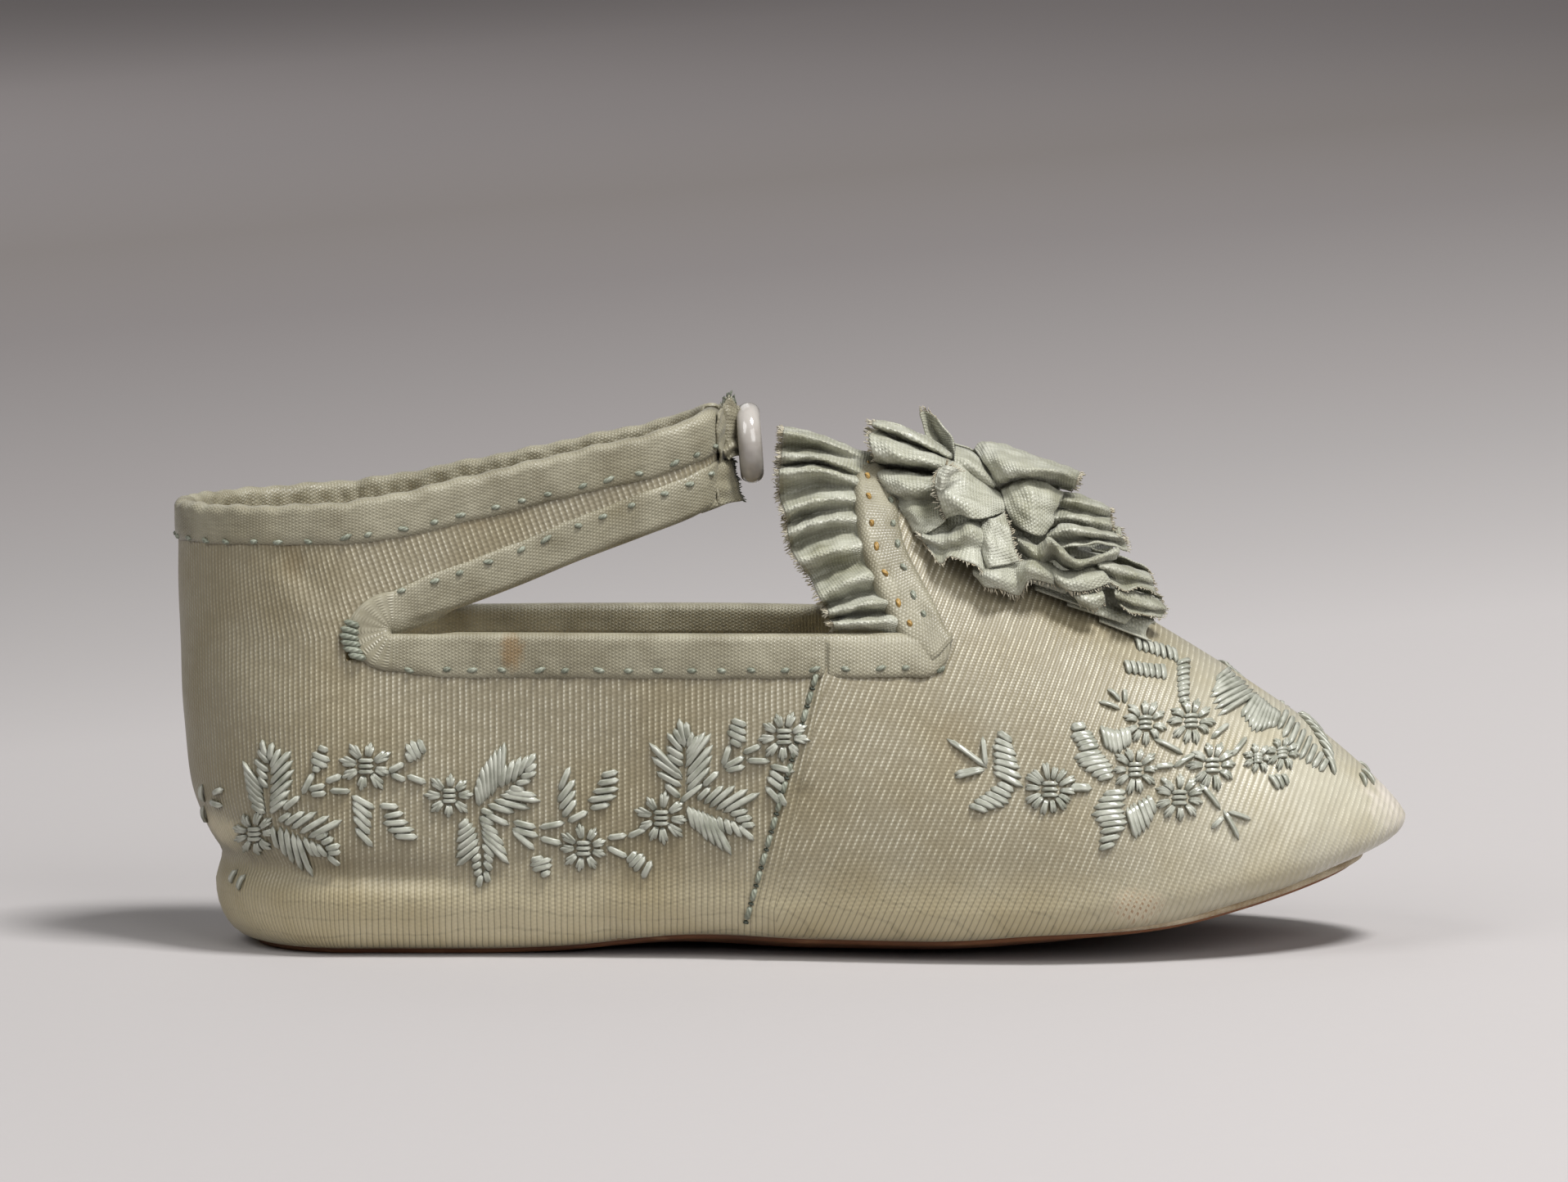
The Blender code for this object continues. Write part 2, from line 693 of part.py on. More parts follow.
def build_rosette(collection, cutters, material):
    """Gathered ribbon tiers joined over a small sewn core."""
    seat, ahead, away = rosette_axes()
    sideways = np.array([0.0, 1.0, 0.0])

    def place(along, across, height):
        return seat + ahead * along + sideways * across + away * height

    core_bm = bmesh.new()
    bmesh.ops.create_uvsphere(core_bm, u_segments=12, v_segments=6, radius=1.0)
    long, wide, tall = ROSETTE_CORE
    for vert in core_bm.verts:
        vert.co = place(vert.co.x * long, vert.co.y * wide, GAP + tall * (1 + vert.co.z))
    rosette = new_object("rosette", core_bm, collection, material)
    for number, tier in enumerate(TIERS):
        steps = tier.folds * 4
        rings = []
        for i in range(steps):
            turn = 2 * math.pi * i / steps
            low = [place(*tier_point(tier, turn, reach)) for reach in (0.0, 0.55, 1.0)]
            high = [p + away * ROSETTE_THICK for p in reversed(low)]
            rings.append(low + high)
        ring_object = loft(f"rosette_tier_{number}", rings, cutters, material, closed=True)
        ring_object.hide_render = True
        ring_object.display_type = "WIRE"
        join = rosette.modifiers.new(ring_object.name, "BOOLEAN")
        join.operation = "UNION"
        join.object = ring_object
    return rosette


def build_strap_end(collection, material):
    """The strap's lapped end over the front of the loop, bound like its edges."""
    start = lap_start() + 2 * GAP
    front = STRAP[-1].x
    steps = 8
    half = []
    for i in range(steps + 1):
        turn = math.pi / 2 * i / steps
        half.append(start + (front - start) * math.sin(turn))
    rings = []
    for x in half:
        lower, upper = smooth(STRAP, "lower", "x", x), smooth(STRAP, "upper", "x", x)
        ring = []
        for z, offset in (
            (lower - GAP, GAP),
            (upper + GAP, GAP),
            (upper + GAP, GAP + LAP_THICK),
            ((lower + upper) / 2, GAP + LAP_THICK),
            (lower - GAP, GAP + LAP_THICK),
        ):
            y = max(strap_half(x, z), 0.0)
            normal = np.array([1.0, 0.0, 0.0])
            if x < front:
                normal = side_normal(min(x, front - 0.06), z)
            ring.append(np.array([x, y, z]) + normal * offset)
        rings.append(ring)
    for point in rings[-1]:
        point[1] = 0.0
    near = [mirrored(ring) for ring in rings[:-1]]
    return loft("strap_end", near + list(reversed(rings)), collection, material)


def build_button(collection, cutters, material):
    """China button: a turned disc with a round rim, a dished face and four thread holes."""
    half, radius, rim = BUTTON_THICK / 2, BUTTON_RADIUS, BUTTON_RIM
    profile = [(0.0, half - BUTTON_DISH), (radius * 0.5, half - BUTTON_DISH), (radius * 0.62, half)]
    for i in range(7):
        turn = math.pi / 2 - math.pi * i / 6
        profile.append((radius - rim + rim * math.cos(turn), half * math.sin(turn)))
    profile.append((0.0, -half))
    mesh_bm = bmesh.new()
    verts = [mesh_bm.verts.new((r, 0.0, z)) for r, z in profile]
    for a, b in zip(verts, verts[1:]):
        mesh_bm.edges.new((a, b))
    button = new_object("button", mesh_bm, collection, material)
    turned = button.modifiers.new("Turn", "SCREW")
    turned.steps = turned.render_steps = 20
    turned.use_merge_vertices = True
    turned.merge_threshold = 0.00001
    for i in range(4):
        turn = math.pi / 4 + math.pi / 2 * i
        hole_bm = bmesh.new()
        bmesh.ops.create_cone(
            hole_bm, cap_ends=True, segments=8, radius1=BUTTON_HOLE, radius2=BUTTON_HOLE, depth=4 * BUTTON_THICK
        )
        for vert in hole_bm.verts:
            vert.co.x += BUTTON_HOLE_RING * math.cos(turn)
            vert.co.y += BUTTON_HOLE_RING * math.sin(turn)
        hole = new_object(f"button_hole_{i}", hole_bm, cutters, material)
        hole.hide_render = True
        hole.display_type = "WIRE"
        hole.parent = button
        cut = button.modifiers.new(hole.name, "BOOLEAN")
        cut.object = hole
    back = STRAP[-1].x + GAP + LAP_THICK + GAP
    button.location = ((back + half + radius * math.sin(BUTTON_TILT)) * MM, 0.0, BUTTON_Z * MM)
    button.rotation_euler = (0.0, math.pi / 2 - BUTTON_TILT, 0.0)
    return button


def main():
    for obj in list(bpy.data.objects):
        bpy.data.objects.remove(obj)
    parts, cutters = new_collection("silk_slipper"), new_collection("slipper_cutters")
    cutters.hide_render = True
    faille = new_material("silk_faille", (0.48, 0.46, 0.36), 0.45)
    ribbon = new_material("silk_ribbon", (0.52, 0.52, 0.42), 0.4)
    leather = new_material("sole_leather", (0.22, 0.11, 0.05), 0.7)
    lining = new_material("linen_lining", (0.62, 0.54, 0.40), 0.8)
    china = new_material("white_china", (0.82, 0.80, 0.78), 0.12)
    build_outsole(parts, leather)
    build_insole(parts, lining)
    build_upper(parts, faille)
    build_top_binding(parts, ribbon)
    build_slit_binding("slit_binding_right", -1, parts, ribbon)
    build_slit_binding("slit_binding_left", 1, parts, ribbon)
    build_throat_binding(parts, ribbon)
    build_frill(parts, ribbon)
    build_rosette(parts, cutters, ribbon)
    build_strap_end(parts, ribbon)
    build_button(parts, cutters, china)


main()
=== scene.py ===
"""Looks of an infant's embroidered silk slipper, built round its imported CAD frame.

Ribbed silk is cut and creased over the last, bound with ribbon, embroidered with floss, trimmed
with a pleated frill and a gathered rosette, and buttoned with a china button. Sizes are in
millimetres in the frame of the CAD model (+X to the toe, +Z up), and MM turns them into metres.
"""

import logging
import math
from dataclasses import dataclass
from enum import Enum
from typing import Callable, Optional, Sequence

import bmesh
import bpy
import numpy as np
from mathutils import Matrix, Vector
from mathutils.bvhtree import BVHTree


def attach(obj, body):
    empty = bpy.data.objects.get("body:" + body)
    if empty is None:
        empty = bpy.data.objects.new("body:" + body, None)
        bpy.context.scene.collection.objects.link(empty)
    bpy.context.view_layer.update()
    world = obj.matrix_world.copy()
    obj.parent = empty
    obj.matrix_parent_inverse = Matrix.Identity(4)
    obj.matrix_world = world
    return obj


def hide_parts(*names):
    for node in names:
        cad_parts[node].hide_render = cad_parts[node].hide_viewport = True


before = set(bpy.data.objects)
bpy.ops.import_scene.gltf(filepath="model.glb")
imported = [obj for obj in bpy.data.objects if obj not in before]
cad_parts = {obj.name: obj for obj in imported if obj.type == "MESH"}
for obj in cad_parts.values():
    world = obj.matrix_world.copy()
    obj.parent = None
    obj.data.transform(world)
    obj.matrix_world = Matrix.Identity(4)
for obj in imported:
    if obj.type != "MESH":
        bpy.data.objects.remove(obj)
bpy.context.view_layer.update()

LOG = logging.getLogger("slipper")
MM = 0.001
BODY = "root"
PHOTO_SIZE = (1916, 1444)
RIB_PITCH = 0.56
SENSOR_WIDTH = 36.0

Array = np.ndarray
Pixel = tuple[float, float]
Place = tuple[float, float]
Socket = bpy.types.NodeSocket
Material = bpy.types.Material
Value = Socket | float


def linear(code: str) -> tuple[float, float, float, float]:
    """Linear colour of an sRGB hex code.

    Args:
        code: six hex digits.

    Returns:
        Red, green, blue and an alpha of 1.
    """
    shares = [int(code[i : i + 2], 16) / 255 for i in (0, 2, 4)]
    red, green, blue = [s / 12.92 if s <= 0.04045 else ((s + 0.055) / 1.055) ** 2.4 for s in shares]
    return red, green, blue, 1.0


def ease(t: Array) -> Array:
    """Smooth step from 0 to 1."""
    t = np.clip(t, 0.0, 1.0)
    return t * t * (3 - 2 * t)


def bump_line(distance: Array, width: float) -> Array:
    """Soft bell of height 1 across a line, by the distance from it."""
    return np.exp(-((distance / width) ** 2))


def unit(vectors: Array) -> Array:
    """Vectors of length 1 in the same directions."""
    return vectors / np.maximum(np.linalg.norm(vectors, axis=-1, keepdims=True), 1e-9)


def joined(*parts: Array | float) -> Array:
    """Coordinates spread to one shape and joined into points."""
    return np.stack(np.broadcast_arrays(*parts), -1)


def sums(steps: Array) -> Array:
    """Running sums of steps, from 0."""
    return np.concatenate([[0.0], np.cumsum(steps)])


def arc(line: Array) -> Array:
    """Distance of each point from the first, along their line."""
    return sums(np.linalg.norm(np.diff(line, axis=0), axis=1))


def inward(plan: Array) -> Array:
    """Directions from a plan line of one side towards the middle of the foot.

    Args:
        plan: points from the centre back to the toe.

    Returns:
        Unit vectors, one for each point.
    """
    ends = np.array([1.0, -1.0])
    padded = np.vstack([plan[1] * ends, plan, plan[-2] * ends])
    along = padded[2:] - padded[:-2]
    return unit(np.stack([along[:, 1], -along[:, 0]], -1))


class Curve:
    """Smooth curve through the rows of a table."""

    def __init__(self, places: Sequence[float], values: Sequence[float]) -> None:
        """Keeps the rows and works out the slope at each.

        Args:
            places: where the rows lie, in rising order.
            values: the value in each row.
        """
        self.places = np.array(places, float)
        self.values = np.array(values, float)
        rows = np.arange(len(places))
        low, high = np.maximum(rows - 1, 0), np.minimum(rows + 1, len(places) - 1)
        self.slopes = (self.values[high] - self.values[low]) / (self.places[high] - self.places[low])

    def __call__(self, at: Array) -> Array:
        """Values between the rows.

        Args:
            at: places to read, held to the table's ends.

        Returns:
            The value at each place.
        """
        at = np.clip(at, self.places[0], self.places[-1])
        i = np.clip(np.searchsorted(self.places, at) - 1, 0, len(self.places) - 2)
        step = self.places[i + 1] - self.places[i]
        t = (at - self.places[i]) / step
        near = (1 + 2 * t) * (1 - t) ** 2 * self.values[i] + t * (1 - t) ** 2 * step * self.slopes[i]
        far = t * t * (3 - 2 * t) * self.values[i + 1] + t * t * (t - 1) * step * self.slopes[i + 1]
        return near + far


PLAN_X = (-60.0, -40.6, -20.0, -5.0, 12.6, 24.0, 40.0, 57.5)
HEEL_Z = (5.8, 8.3, 11.0, 15.0, 21.0, 27.4, 34.0, 42.0)
STRAP_X = (-40.6, -36.0, -31.0, -25.0, -19.0, -13.0, -9.0, -7.0, -6.1)


@dataclass(frozen=True)
class SlipperForm:
    """The last: outer surface of the upper, the same curves as in the CAD model."""

    toe_x: float = 57.5
    ball_x: float = 24.0
    ball_half: float = 21.0
    slit_x: float = -40.6
    throat_x: float = 12.6
    tongue_x: float = 7.9
    topline_z: float = 29.3
    slit_low: float = 27.4
    slit_high: float = 29.4
    collar_back: float = 40.5
    heel_round: float = 2.05
    wall: float = 1.2
    feather_lift: float = 0.6
    feather_inset: float = 3.5
    throat_sweep: float = 4.2
    half: Curve = Curve(PLAN_X, (15.3, 15.3, 15.6, 16.9, 19.9, 21.0, 21.0, 21.0))
    top_half: Curve = Curve(PLAN_X, (14.4, 14.5, 15.2, 15.6, 13.4, 13.4, 13.4, 13.4))
    roll: Curve = Curve(PLAN_X, (5.2, 5.2, 5.0, 4.8, 4.5, 4.2, 3.5, 2.4))
    arch: Curve = Curve(PLAN_X, (2.0, 2.0, 1.9, 1.8, 1.7, 1.75, 1.9, 2.0))
    heel_back: Curve = Curve(HEEL_Z, (-53.5, -53.1, -54.3, -55.7, -56.3, -56.6, -56.75, -56.8))
    heel_half: Curve = Curve(HEEL_Z, (15.3, 15.3, 15.7, 15.8, 15.3, 14.5, 13.7, 13.3))
    strap_plan: Curve = Curve(STRAP_X, (13.9, 13.1, 11.5, 9.8, 8.6, 7.9, 6.4, 4.1, 0.0))
    strap_low: Curve = Curve(STRAP_X, (29.4, 31.0, 32.4, 34.5, 36.9, 39.1, 40.5, 41.4, 41.9))
    strap_high: Curve = Curve(STRAP_X, (41.2, 41.9, 43.0, 44.3, 45.7, 47.0, 48.2, 49.0, 49.3))

    def sole(self, x: Array) -> Array:
        """Underside of the sole: flat heel and ball, a low arch and the toe spring."""
        low = np.where((x > -22.0) & (x < 2.0), 0.5 * np.sin(math.pi * (x + 22.0) / 24.0) ** 2, 0.0)
        return low + 8.6 * (np.maximum(0.0, x - 12.0) / 45.5) ** 1.7

    def edge_lift(self, x: Array) -> Array:
        """How far the sole's edges curl up beside the ball."""
        return 1.2 * ease((x + 30.0) / 30.0) * (1 - ease((x - 20.0) / 18.0))

    def widest(self, x: Array) -> Array:
        """Height at which the upper is widest."""
        return self.sole(x) + self.feather_lift + self.roll(x)

    def half_breadth(self, x: Array) -> Array:
        """Greatest half breadth at a station along the foot."""
        reach = np.clip((x - self.ball_x) / (self.toe_x - self.ball_x), 0.0, 1.0)
        return np.where(x <= self.ball_x, self.half(x), self.ball_half * (1 - reach**1.8) ** (1 / 1.8))

    def ridge_rise(self, x: Array) -> Array:
        """Height of the vamp's ridge above the widest level."""
        reach = np.clip((x - self.tongue_x) / (self.toe_x - self.tongue_x), 0.0, 1.0)
        return 39.2 * (1 - reach**1.1) ** 0.8

    def vamp(self, x: Array, angle: Array) -> Array:
        """Points of the vamp.

        Args:
            x: stations along the foot.
            angle: 0 at the widest level, a quarter turn at the ridge.

        Returns:
            Points on the far side (y above 0).
        """
        p = self.arch(x)
        c, s = np.maximum(np.cos(angle), 0.0), np.maximum(np.sin(angle), 0.0)
        scale = (c**p + s**p) ** (-1 / p)
        y, z = self.half_breadth(x) * scale * c, self.widest(x) + self.ridge_rise(x) * scale * s
        return np.stack([x + 0 * c, y, z], -1)

    def vamp_normal(self, x: Array, angle: Array) -> Array:
        """Outward normals of the vamp.

        Args:
            x: stations along the foot.
            angle: 0 at the widest level, a quarter turn at the ridge.

        Returns:
            Unit vectors on the far side.
        """
        step = 0.02
        along = self.vamp(x + step, angle) - self.vamp(x - step, angle)
        around = self.vamp(x, np.minimum(angle + step, math.pi / 2)) - self.vamp(x, angle - step)
        flat = np.broadcast_to(np.array([0.0, -1.0, 0.0]), around.shape)
        around = np.where((angle > math.pi / 2 - 2 * step)[..., None], flat, around)
        return unit(np.cross(around, along))

    def vamp_angle(self, x: float, z: float) -> float:
        """Angle of the vamp point at a station that lies at a height.

        Args:
            x: the station along the foot.
            z: the height.

        Returns:
            0 at the widest level, a quarter turn at the ridge.
        """
        p = float(self.arch(x))
        rise = float((z - self.widest(x)) / self.ridge_rise(x))
        return math.atan2(rise, (1 - rise**p) ** (1 / p))

    def topline(self, x: Array) -> Array:
        """Upper edge of the quarter, which dips into the root of the slit."""
        return self.slit_low + (self.topline_z - self.slit_low) * ease((x - self.slit_x) / 5.0)

    def quarter(self, x: Array, z: Array) -> Array:
        """Half breadth of the quarter between the heel cup and the throat.

        Args:
            x: stations along the foot.
            z: heights.

        Returns:
            Half breadths at those places.
        """
        half, p, low = self.half_breadth(x), self.arch(x), self.widest(x)
        share = (1 - (self.top_half(x) / half) ** p) ** (1 / p)
        rise = np.minimum(np.maximum((z - low) / (self.topline_z - low), 0.0) * share, 0.999)
        blend = ease((x - self.slit_x) / 20.6)
        return self.heel_half(z) * (1 - blend) + half * (1 - rise**p) ** (1 / p) * blend

    def heel(self, share: Array, z: Array) -> Array:
        """Points of the heel cup, from the centre back (share 0) to the root of the slit (1).

        Args:
            share: places round the cup.
            z: heights.

        Returns:
            Points on the far side.
        """
        angle = share * math.pi / 2
        back = self.heel_back(z)
        power = 2 / self.heel_round
        x = back + (self.slit_x - back) * (1 - np.maximum(np.cos(angle), 0.0) ** power)
        return np.stack([x, self.heel_half(z) * np.sin(angle) ** power, z + 0 * x], -1)

    def collar(self, share: Array) -> Array:
        """Upper edge of the heel cup, which lifts towards the strap."""
        return self.collar_back + 0.7 * share**3

    def strap(self, x: Array, across: Array) -> Array:
        """Points of the strap, from its lower edge (across 0) to its upper edge (1).

        Args:
            x: stations along the foot.
            across: places across the strap.

        Returns:
            Points on the far side.
        """
        low, high = self.strap_low(x), self.strap_high(x)
        z = low + (high - low) * across
        return np.stack([x + 0 * z, np.maximum(self.strap_half(x, z), 0.0), z], -1)

    def strap_half(self, x: Array, z: Array) -> Array:
        """Half breadth of the strap's loop."""
        return self.strap_plan(x) + (self.heel_half(z) - 13.9) * (1 - ease((x - self.slit_x) / 12.0))

    def throat(self, share: Array) -> tuple[Array, Array]:
        """Station and angle along the throat edge, from the topline corner (0) to the tongue's tip (1).

        Args:
            share: places along the edge.

        Returns:
            Stations along the foot, and angles as in vamp.
        """
        corner = self.vamp_angle(self.throat_x, self.topline_z)
        x = self.tongue_x + (self.throat_x - self.tongue_x) * (1 - share) ** self.throat_sweep
        return x, corner + (math.pi / 2 - corner) * share

    def side(self, x: Array, z: Array) -> Array:
        """Half breadth of the side wall: heel cup, strap above the slit, quarter below it.

        Args:
            x: stations along the foot.
            z: heights.

        Returns:
            Half breadths at those places.
        """
        back = self.heel_back(z)
        reach = np.clip(1 - (x - back) / (self.slit_x - back), 0.0, 1.0)
        cup = self.heel_half(z) * (1 - reach**self.heel_round) ** (1 / self.heel_round)
        above = ease((z - (self.strap_low(x) + self.topline(x)) / 2) / 1.6 + 0.5)
        return np.where(
            x <= self.slit_x, cup, self.strap_half(x, z) * above + self.quarter(x, z) * (1 - above)
        )

    def side_normal(self, x: Array, z: Array) -> Array:
        """Outward normals of the side wall.

        Args:
            x: stations along the foot.
            z: heights.

        Returns:
            Unit vectors on the far side.
        """
        step = 0.05
        dx = (self.side(x + step, z) - self.side(x - step, z)) / (2 * step)
        dz = (self.side(x, z + step) - self.side(x, z - step)) / (2 * step)
        return unit(np.stack([-dx, np.ones_like(dx), -dz], -1))


FORM = SlipperForm()


def add_node(
    tree: bpy.types.NodeTree, kind: str, inputs: Optional[dict] = None, **settings
) -> bpy.types.Node:
    """Adds a shader node with its settings, values and links.

    Args:
        tree: the material's nodes.
        kind: the node's type.
        inputs: value or linked output socket for each named or numbered input.
        settings: properties of the node itself.

    Returns:
        The new node.
    """
    node = tree.nodes.new(kind)
    for name, value in settings.items():
        setattr(node, name, value)
    for name, value in (inputs or {}).items():
        if isinstance(value, Socket):
            tree.links.new(value, node.inputs[name])
        else:
            node.inputs[name].default_value = value
    return node


def ramp(tree: bpy.types.NodeTree, share: Socket, stops: Sequence[tuple[float, str]]) -> Socket:
    """Colour read from a ramp.

    Args:
        tree: the material's nodes.
        share: where on the ramp to read.
        stops: place and sRGB hex code of each stop.

    Returns:
        The colour socket.
    """
    node = add_node(tree, "ShaderNodeValToRGB", {"Fac": share})
    elements = node.color_ramp.elements
    elements[0].position, elements[1].position = stops[0][0], stops[-1][0]
    elements[0].color, elements[1].color = linear(stops[0][1]), linear(stops[-1][1])
    for place, code in stops[1:-1]:
        elements.new(place).color = linear(code)
    return node.outputs["Color"]


class Finish:
    """A material under construction: its node tree, its shader and the patterns they share."""

    def __init__(self, name: str, **shader) -> None:
        """Makes an empty material.

        Args:
            name: the real material's name.
            shader: constant values of the shader's sockets, spaces written as underscores.
        """
        self.material = bpy.data.materials.new(name)
        self.material.use_nodes = True
        self.tree = self.material.node_tree
        self.shader = self.tree.nodes["Principled BSDF"]
        for socket, value in shader.items():
            self.shader.inputs[socket.replace("_", " ")].default_value = value
        place = self.add("ShaderNodeTexCoord")
        self.place = place.outputs["Object"]

    def add(self, kind: str, inputs: Optional[dict] = None, **settings) -> bpy.types.Node:
        """Adds a node to this material."""
        return add_node(self.tree, kind, inputs, **settings)

    def noise(self, size_mm: float, detail: float = 3.0, vector: Optional[Socket] = None) -> Socket:
        """Noise whose spots are about a size in millimetres, on Object coordinates."""
        inputs = {"Vector": vector or self.place, "Scale": 1.0 / (size_mm * MM), "Detail": detail}
        return self.add("ShaderNodeTexNoise", inputs).outputs["Fac"]

    def math(self, operation: str, first: Value, second: Value = 0.0) -> Socket:
        """Result of a sum on two values or sockets."""
        return self.add("ShaderNodeMath", {0: first, 1: second}, operation=operation).outputs[0]

    def times(self, first: Value, second: Value) -> Socket:
        """Product of two values or sockets."""
        return self.math("MULTIPLY", first, second)

    def plus(self, first: Value, second: Value) -> Socket:
        """Sum of two values or sockets."""
        return self.math("ADD", first, second)

    def span(self, value: Socket, low: float, high: float, to_low: float, to_high: float) -> Socket:
        """Value carried smoothly from one span to another, and held at its ends."""
        inputs = {"Value": value, "From Min": low, "From Max": high, "To Min": to_low, "To Max": to_high}
        return self.add("ShaderNodeMapRange", inputs, interpolation_type="SMOOTHSTEP").outputs["Result"]

    def mix(self, share: Value, first: Socket | str, second: Socket | str, blend: str = "MIX") -> Socket:
        """Colour between two colours, given as sockets or sRGB hex codes.

        Args:
            share: 0 for the first colour, 1 for the second.
            first: one colour.
            second: the other colour.
            blend: how they are blended.

        Returns:
            The colour socket.
        """
        colours = [linear(c) if isinstance(c, str) else c for c in (first, second)]
        inputs = {"Factor": share, 6: colours[0], 7: colours[1]}
        return self.add("ShaderNodeMix", inputs, data_type="RGBA", blend_type=blend).outputs[2]

    def spot(self, centre: Sequence[float], size: Sequence[float], ragged: Socket) -> Socket:
        """Soft-edged mask of a stain.

        Args:
            centre: middle of the stain in millimetres.
            size: half sizes along the axes in millimetres.
            ragged: noise that breaks up its edge.

        Returns:
            1 in the middle, 0 outside.
        """
        scale = [1.0 / (s * MM) for s in size]
        shift = [-c * MM * k for c, k in zip(centre, scale)]
        mapped = self.add("ShaderNodeMapping", {"Vector": self.place, "Location": shift, "Scale": scale})
        reach = self.add("ShaderNodeVectorMath", {0: mapped.outputs[0]}, operation="LENGTH").outputs["Value"]
        return self.span(self.plus(reach, self.times(ragged, 0.9)), 0.7, 1.6, 1.0, 0.0)

    def weave(self, uv_map: str) -> tuple[Socket, Socket]:
        """The two coordinates of the piece's own cloth map.

        Args:
            uv_map: the map's name.

        Returns:
            Sockets of the coordinates along and across the cloth.
        """
        uv = self.add("ShaderNodeUVMap", uv_map=uv_map)
        split = self.add("ShaderNodeSeparateXYZ", {0: uv.outputs[0]})
        return split.outputs[0], split.outputs[1]

    def ridge(self, coordinate: Socket, per_unit: float) -> Socket:
        """Rounded ridges from 0 to 1 along a coordinate."""
        turn = self.times(coordinate, 2 * math.pi * per_unit)
        return self.add(
            "ShaderNodeMath", {0: self.math("SINE", turn), 1: 0.5, 2: 0.5}, operation="MULTIPLY_ADD"
        ).outputs[0]

    def bump(self, height: Socket, depth_mm: float, strength: float = 1.0) -> None:
        """Relief of a depth in millimetres on top of any relief given before.

        Args:
            height: pattern of the relief, 0 to 1.
            depth_mm: how deep it is.
            strength: how much of it shows.
        """
        inputs = {"Height": height, "Distance": depth_mm * MM, "Strength": strength}
        if self.shader.inputs["Normal"].links:
            inputs["Normal"] = self.shader.inputs["Normal"].links[0].from_socket
        node = self.add("ShaderNodeBump", inputs)
        self.tree.links.new(node.outputs["Normal"], self.shader.inputs["Normal"])

    def colour(self, socket: Socket) -> None:
        """Sets the base colour."""
        self.tree.links.new(socket, self.shader.inputs["Base Color"])

    def rough(self, socket: Socket) -> None:
        """Sets the roughness."""
        self.tree.links.new(socket, self.shader.inputs["Roughness"])


class Piece:
    """A mesh under construction, in millimetres, with a cloth map and any number of joined grids."""

    def __init__(self, name: str) -> None:
        """Starts an empty mesh.

        Args:
            name: the piece's name.
        """
        self.name = name
        self.bm = bmesh.new()
        self.uv = self.bm.loops.layers.uv.new("cloth")

    def grid(self, points: Array, cloth: Optional[Array] = None, material: int = 0) -> None:
        """Adds a grid laid through an array of points.

        Args:
            points: array of columns by rows by three.
            cloth: cloth coordinates of each point, columns by rows by two.
            material: slot of its faces.
        """
        columns, rows = points.shape[0] - 1, points.shape[1] - 1
        made = bmesh.ops.create_grid(self.bm, x_segments=columns, y_segments=rows, size=0.5)
        places = {}
        for vert in made["verts"]:
            i, j = round((vert.co.x + 0.5) * columns), round((vert.co.y + 0.5) * rows)
            places[vert] = (i, j)
            vert.co = points[i, j]
        for face in {face for vert in made["verts"] for face in vert.link_faces}:
            face.material_index = material
            if cloth is None:
                continue
            for loop in face.loops:
                loop[self.uv].uv = cloth[places[loop.vert]]

    def weld(self, gap: float = 0.01) -> None:
        """Merges doubled points and turns all faces the same way.

        Args:
            gap: how far apart doubled points may lie.
        """
        bmesh.ops.remove_doubles(self.bm, verts=self.bm.verts, dist=gap)
        bmesh.ops.dissolve_degenerate(self.bm, dist=0.0005, edges=self.bm.edges)
        bmesh.ops.recalc_face_normals(self.bm, faces=self.bm.faces)

    def turn_out(self, way: Sequence[float]) -> None:
        """Reverses the faces where the one furthest along a direction looks back.

        Args:
            way: the direction.
        """
        way = Vector(way)
        furthest = max(self.bm.faces, key=lambda face: face.calc_center_median().dot(way))
        if furthest.normal.dot(way) < 0:
            bmesh.ops.reverse_faces(self.bm, faces=self.bm.faces)

    def finish(
        self, materials: Sequence[Material], slot: str, stands_for: Sequence[str] = ()
    ) -> bpy.types.Object:
        """Makes the object, attaches it to the body and hides the CAD parts that it replaces.

        Args:
            materials: its material slots.
            slot: not used.
            stands_for: CAD nodes that it replaces.

        Returns:
            The new object.
        """
        bmesh.ops.scale(self.bm, vec=(MM, MM, MM), verts=self.bm.verts)
        mesh = bpy.data.meshes.new(self.name)
        self.bm.to_mesh(mesh)
        self.bm.free()
        mesh.shade_smooth()
        for material in materials:
            mesh.materials.append(material)
        piece = bpy.data.objects.new(self.name, mesh)
        bpy.context.scene.collection.objects.link(piece)
        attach(piece, BODY)
        if stands_for:
            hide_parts(*stands_for)
        LOG.info("%s: %d faces", self.name, len(mesh.polygons))
        return piece


def mirrored(points: Array) -> Array:
    """The same points on the other side of the foot."""
    return points * np.array([1.0, -1.0, 1.0])


def add_wall(sheet: bpy.types.Object, thick: float, offset: float = 0.0) -> bpy.types.Modifier:
    """Gives a sheet of cloth its thickness.

    Args:
        sheet: the cloth.
        thick: its thickness.
        offset: -1 to grow it inwards, 0 to grow it both ways.

    Returns:
        The modifier.
    """
    wall = sheet.modifiers.new("wall", "SOLIDIFY")
    wall.thickness, wall.offset = thick * MM, offset
    return wall


